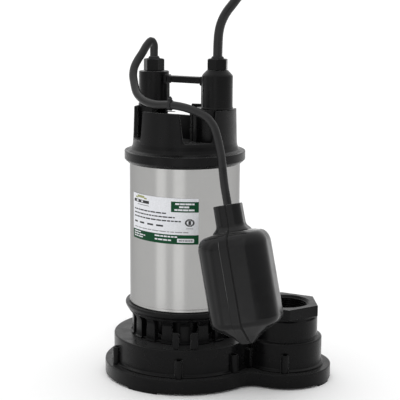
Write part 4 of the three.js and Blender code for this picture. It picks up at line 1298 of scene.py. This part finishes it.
def plug_pin():
    start = PLUG_END + GAP
    shape = lathe([(0, start), (2.4, start), (2.4, start + 20, 2.0), (0, start + 20)], 48, 8)
    groove = lathe([
        (2.2, start + 2.5, 0.1), (3, start + 2.5), (3, start + 3.3), (2.2, start + 3.3, 0.1)], 48)
    cut = [("cut", groove.moved(0, PIN_OFFSET))]
    return piece("plug_pin", shape.moved(0, PIN_OFFSET), "plug_ground_pin", BRASS, cut,
                 place=PLUG_PLACE)


plug_parts = [plug_body(), plug_blade("plug_blade_1", "plug_blade_left", -BLADE_OFFSET),
              plug_blade("plug_blade_2", "plug_blade_right", BLADE_OFFSET), plug_pin()]

# ---------- seal spring ----------
SPRING_TURNS, SPRING_STEPS = 4, 40
SPRING_RADIUS, SPRING_BOTTOM, SPRING_HEIGHT = 0.010, 0.048, 0.014
SPRING_WIRE = 0.001
spring_line = [
    Vector((*polar(SPRING_RADIUS, 360 * i / SPRING_STEPS),
            SPRING_BOTTOM + SPRING_HEIGHT * i / (SPRING_STEPS * SPRING_TURNS)))
    for i in range(SPRING_STEPS * SPRING_TURNS + 1)]
seal_spring = tube("seal_spring", spring_line, SPRING_WIRE, 12)
# The spring takes the darkened steel: painted shade behind the strainer's slots.
seal_spring.data.materials.append(SHADED_STEEL)
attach(seal_spring, "rotor")
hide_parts("shaft_seal_spring")

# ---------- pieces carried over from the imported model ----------
CARRIED = {
    RUBBER: ["volute_gasket", "shell_bottom_seal", "shell_top_seal", "thermal_protector", "float_switch"],
    LAMINATION: ["stator_core", "rotor_core"],
    WINDING: ["stator_winding_lower", "stator_winding_upper"],
    # The shaft takes the darkened steel: painted shade behind the strainer's slots.
    SHADED_STEEL: ["motor_shaft"],
    STEEL: ["lower_bearing_inner", "lower_bearing_outer", "upper_bearing_inner",
            "upper_bearing_outer", "impeller_nut", "float_ball", "switch_lever"],
    CERAMIC: ["shaft_seal_seat"],
    CARBON: ["shaft_seal_head"],
    INNER_PLASTIC: ["run_capacitor", "ball_tube"],
    PUMP_PLASTIC: ["tie_bracket"],
    IMPELLER_PLASTIC: ["impeller"],
}
for material, names in CARRIED.items():
    for name in names:
        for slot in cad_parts[name].material_slots:
            slot.material = material

# ---------- what the cords are ----------
for cord_piece in (float_cord, power_cord):
    cord_piece.data.materials.append(CORD_JACKET)


# ---------- floor, light and world ----------
FLOOR_RADIUS = 40.0
FLOOR_DROP = 0.0002
PANEL_HEIGHT, PANEL_RADIANCE = 0.6, 0.50
HORIZON_LIGHT, ZENITH_LIGHT = 0.74, 1.85
LEFT_GAIN, BACK_GAIN = -0.12, 0.25


def make_floor():
    look = Look("floor_paint", 0.9, specular=0.1)
    mottle = look.noise(3, 4)
    look.colour(look.blend(look.spread(mottle, 0, 1), (0.93, 0.93, 0.93), (0.94, 0.94, 0.94)))
    rim = [(x, y, -FLOOR_DROP) for x, y in arc_points(0, 0, FLOOR_RADIUS, 0, TAU, 64)]
    floor = mesh_from("floor", rim, [tuple(range(64))])
    floor.data.materials.append(look.material)


def strip_light(name, place, width):
    """Tall soft panel that stands on the floor and faces the pump; only reflections show it."""
    data = bpy.data.lights.new(name, "AREA")
    data.shape = "RECTANGLE"
    data.size = width
    data.size_y = PANEL_HEIGHT
    data.energy = PANEL_RADIANCE * math.pi * width * PANEL_HEIGHT
    light = bpy.data.objects.new(name, data)
    middle = Vector((*place, PANEL_HEIGHT / 2))
    toward = Vector((-place[0], -place[1], 0))
    light.matrix_world = Matrix.Translation(middle) @ toward.to_track_quat("-Z", "Y").to_matrix().to_4x4()
    light.visible_camera = False
    light.visible_diffuse = False
    scene.collection.objects.link(light)


def make_world():
    """White backdrop, and light that grows from the horizon to the top, and to the left and back."""
    world = bpy.data.worlds.new("studio")
    world.use_nodes = True
    nodes, links = world.node_tree.nodes, world.node_tree.links
    nodes.clear()
    place = nodes.new("ShaderNodeTexCoord")
    split = nodes.new("ShaderNodeSeparateXYZ")
    rise = nodes.new("ShaderNodeMapRange")
    across, along, gain = (nodes.new("ShaderNodeMath") for _ in range(3))
    rays = nodes.new("ShaderNodeLightPath")
    choose = nodes.new("ShaderNodeMix")
    sky = nodes.new("ShaderNodeBackground")
    output = nodes.new("ShaderNodeOutputWorld")
    rise.inputs["To Min"].default_value = HORIZON_LIGHT
    rise.inputs["To Max"].default_value = ZENITH_LIGHT
    across.operation = along.operation = "MULTIPLY_ADD"
    across.inputs[1].default_value = LEFT_GAIN
    across.inputs[2].default_value = 1.0
    along.inputs[1].default_value = BACK_GAIN
    gain.operation = "MULTIPLY"
    choose.inputs["B"].default_value = 1.0
    for source, target in (
            (place.outputs["Generated"], split.inputs["Vector"]),
            (split.outputs["Z"], rise.inputs["Value"]),
            (split.outputs["X"], across.inputs[0]),
            (split.outputs["Y"], along.inputs[0]),
            (across.outputs["Value"], along.inputs[2]),
            (rise.outputs["Result"], gain.inputs[0]),
            (along.outputs["Value"], gain.inputs[1]),
            (gain.outputs["Value"], choose.inputs["A"]),
            (rays.outputs["Is Camera Ray"], choose.inputs["Factor"]),
            (choose.outputs["Result"], sky.inputs["Strength"]),
            (sky.outputs["Background"], output.inputs["Surface"])):
        links.new(source, target)
    scene.world = world


make_floor()
make_world()
# The two panels make the two pale bands on the shell.
strip_light("left_panel", (-0.1755, -0.2410), 0.100)
strip_light("front_panel", (-0.0063, -0.3017), 0.106)
scene.view_settings.view_transform = "Standard"
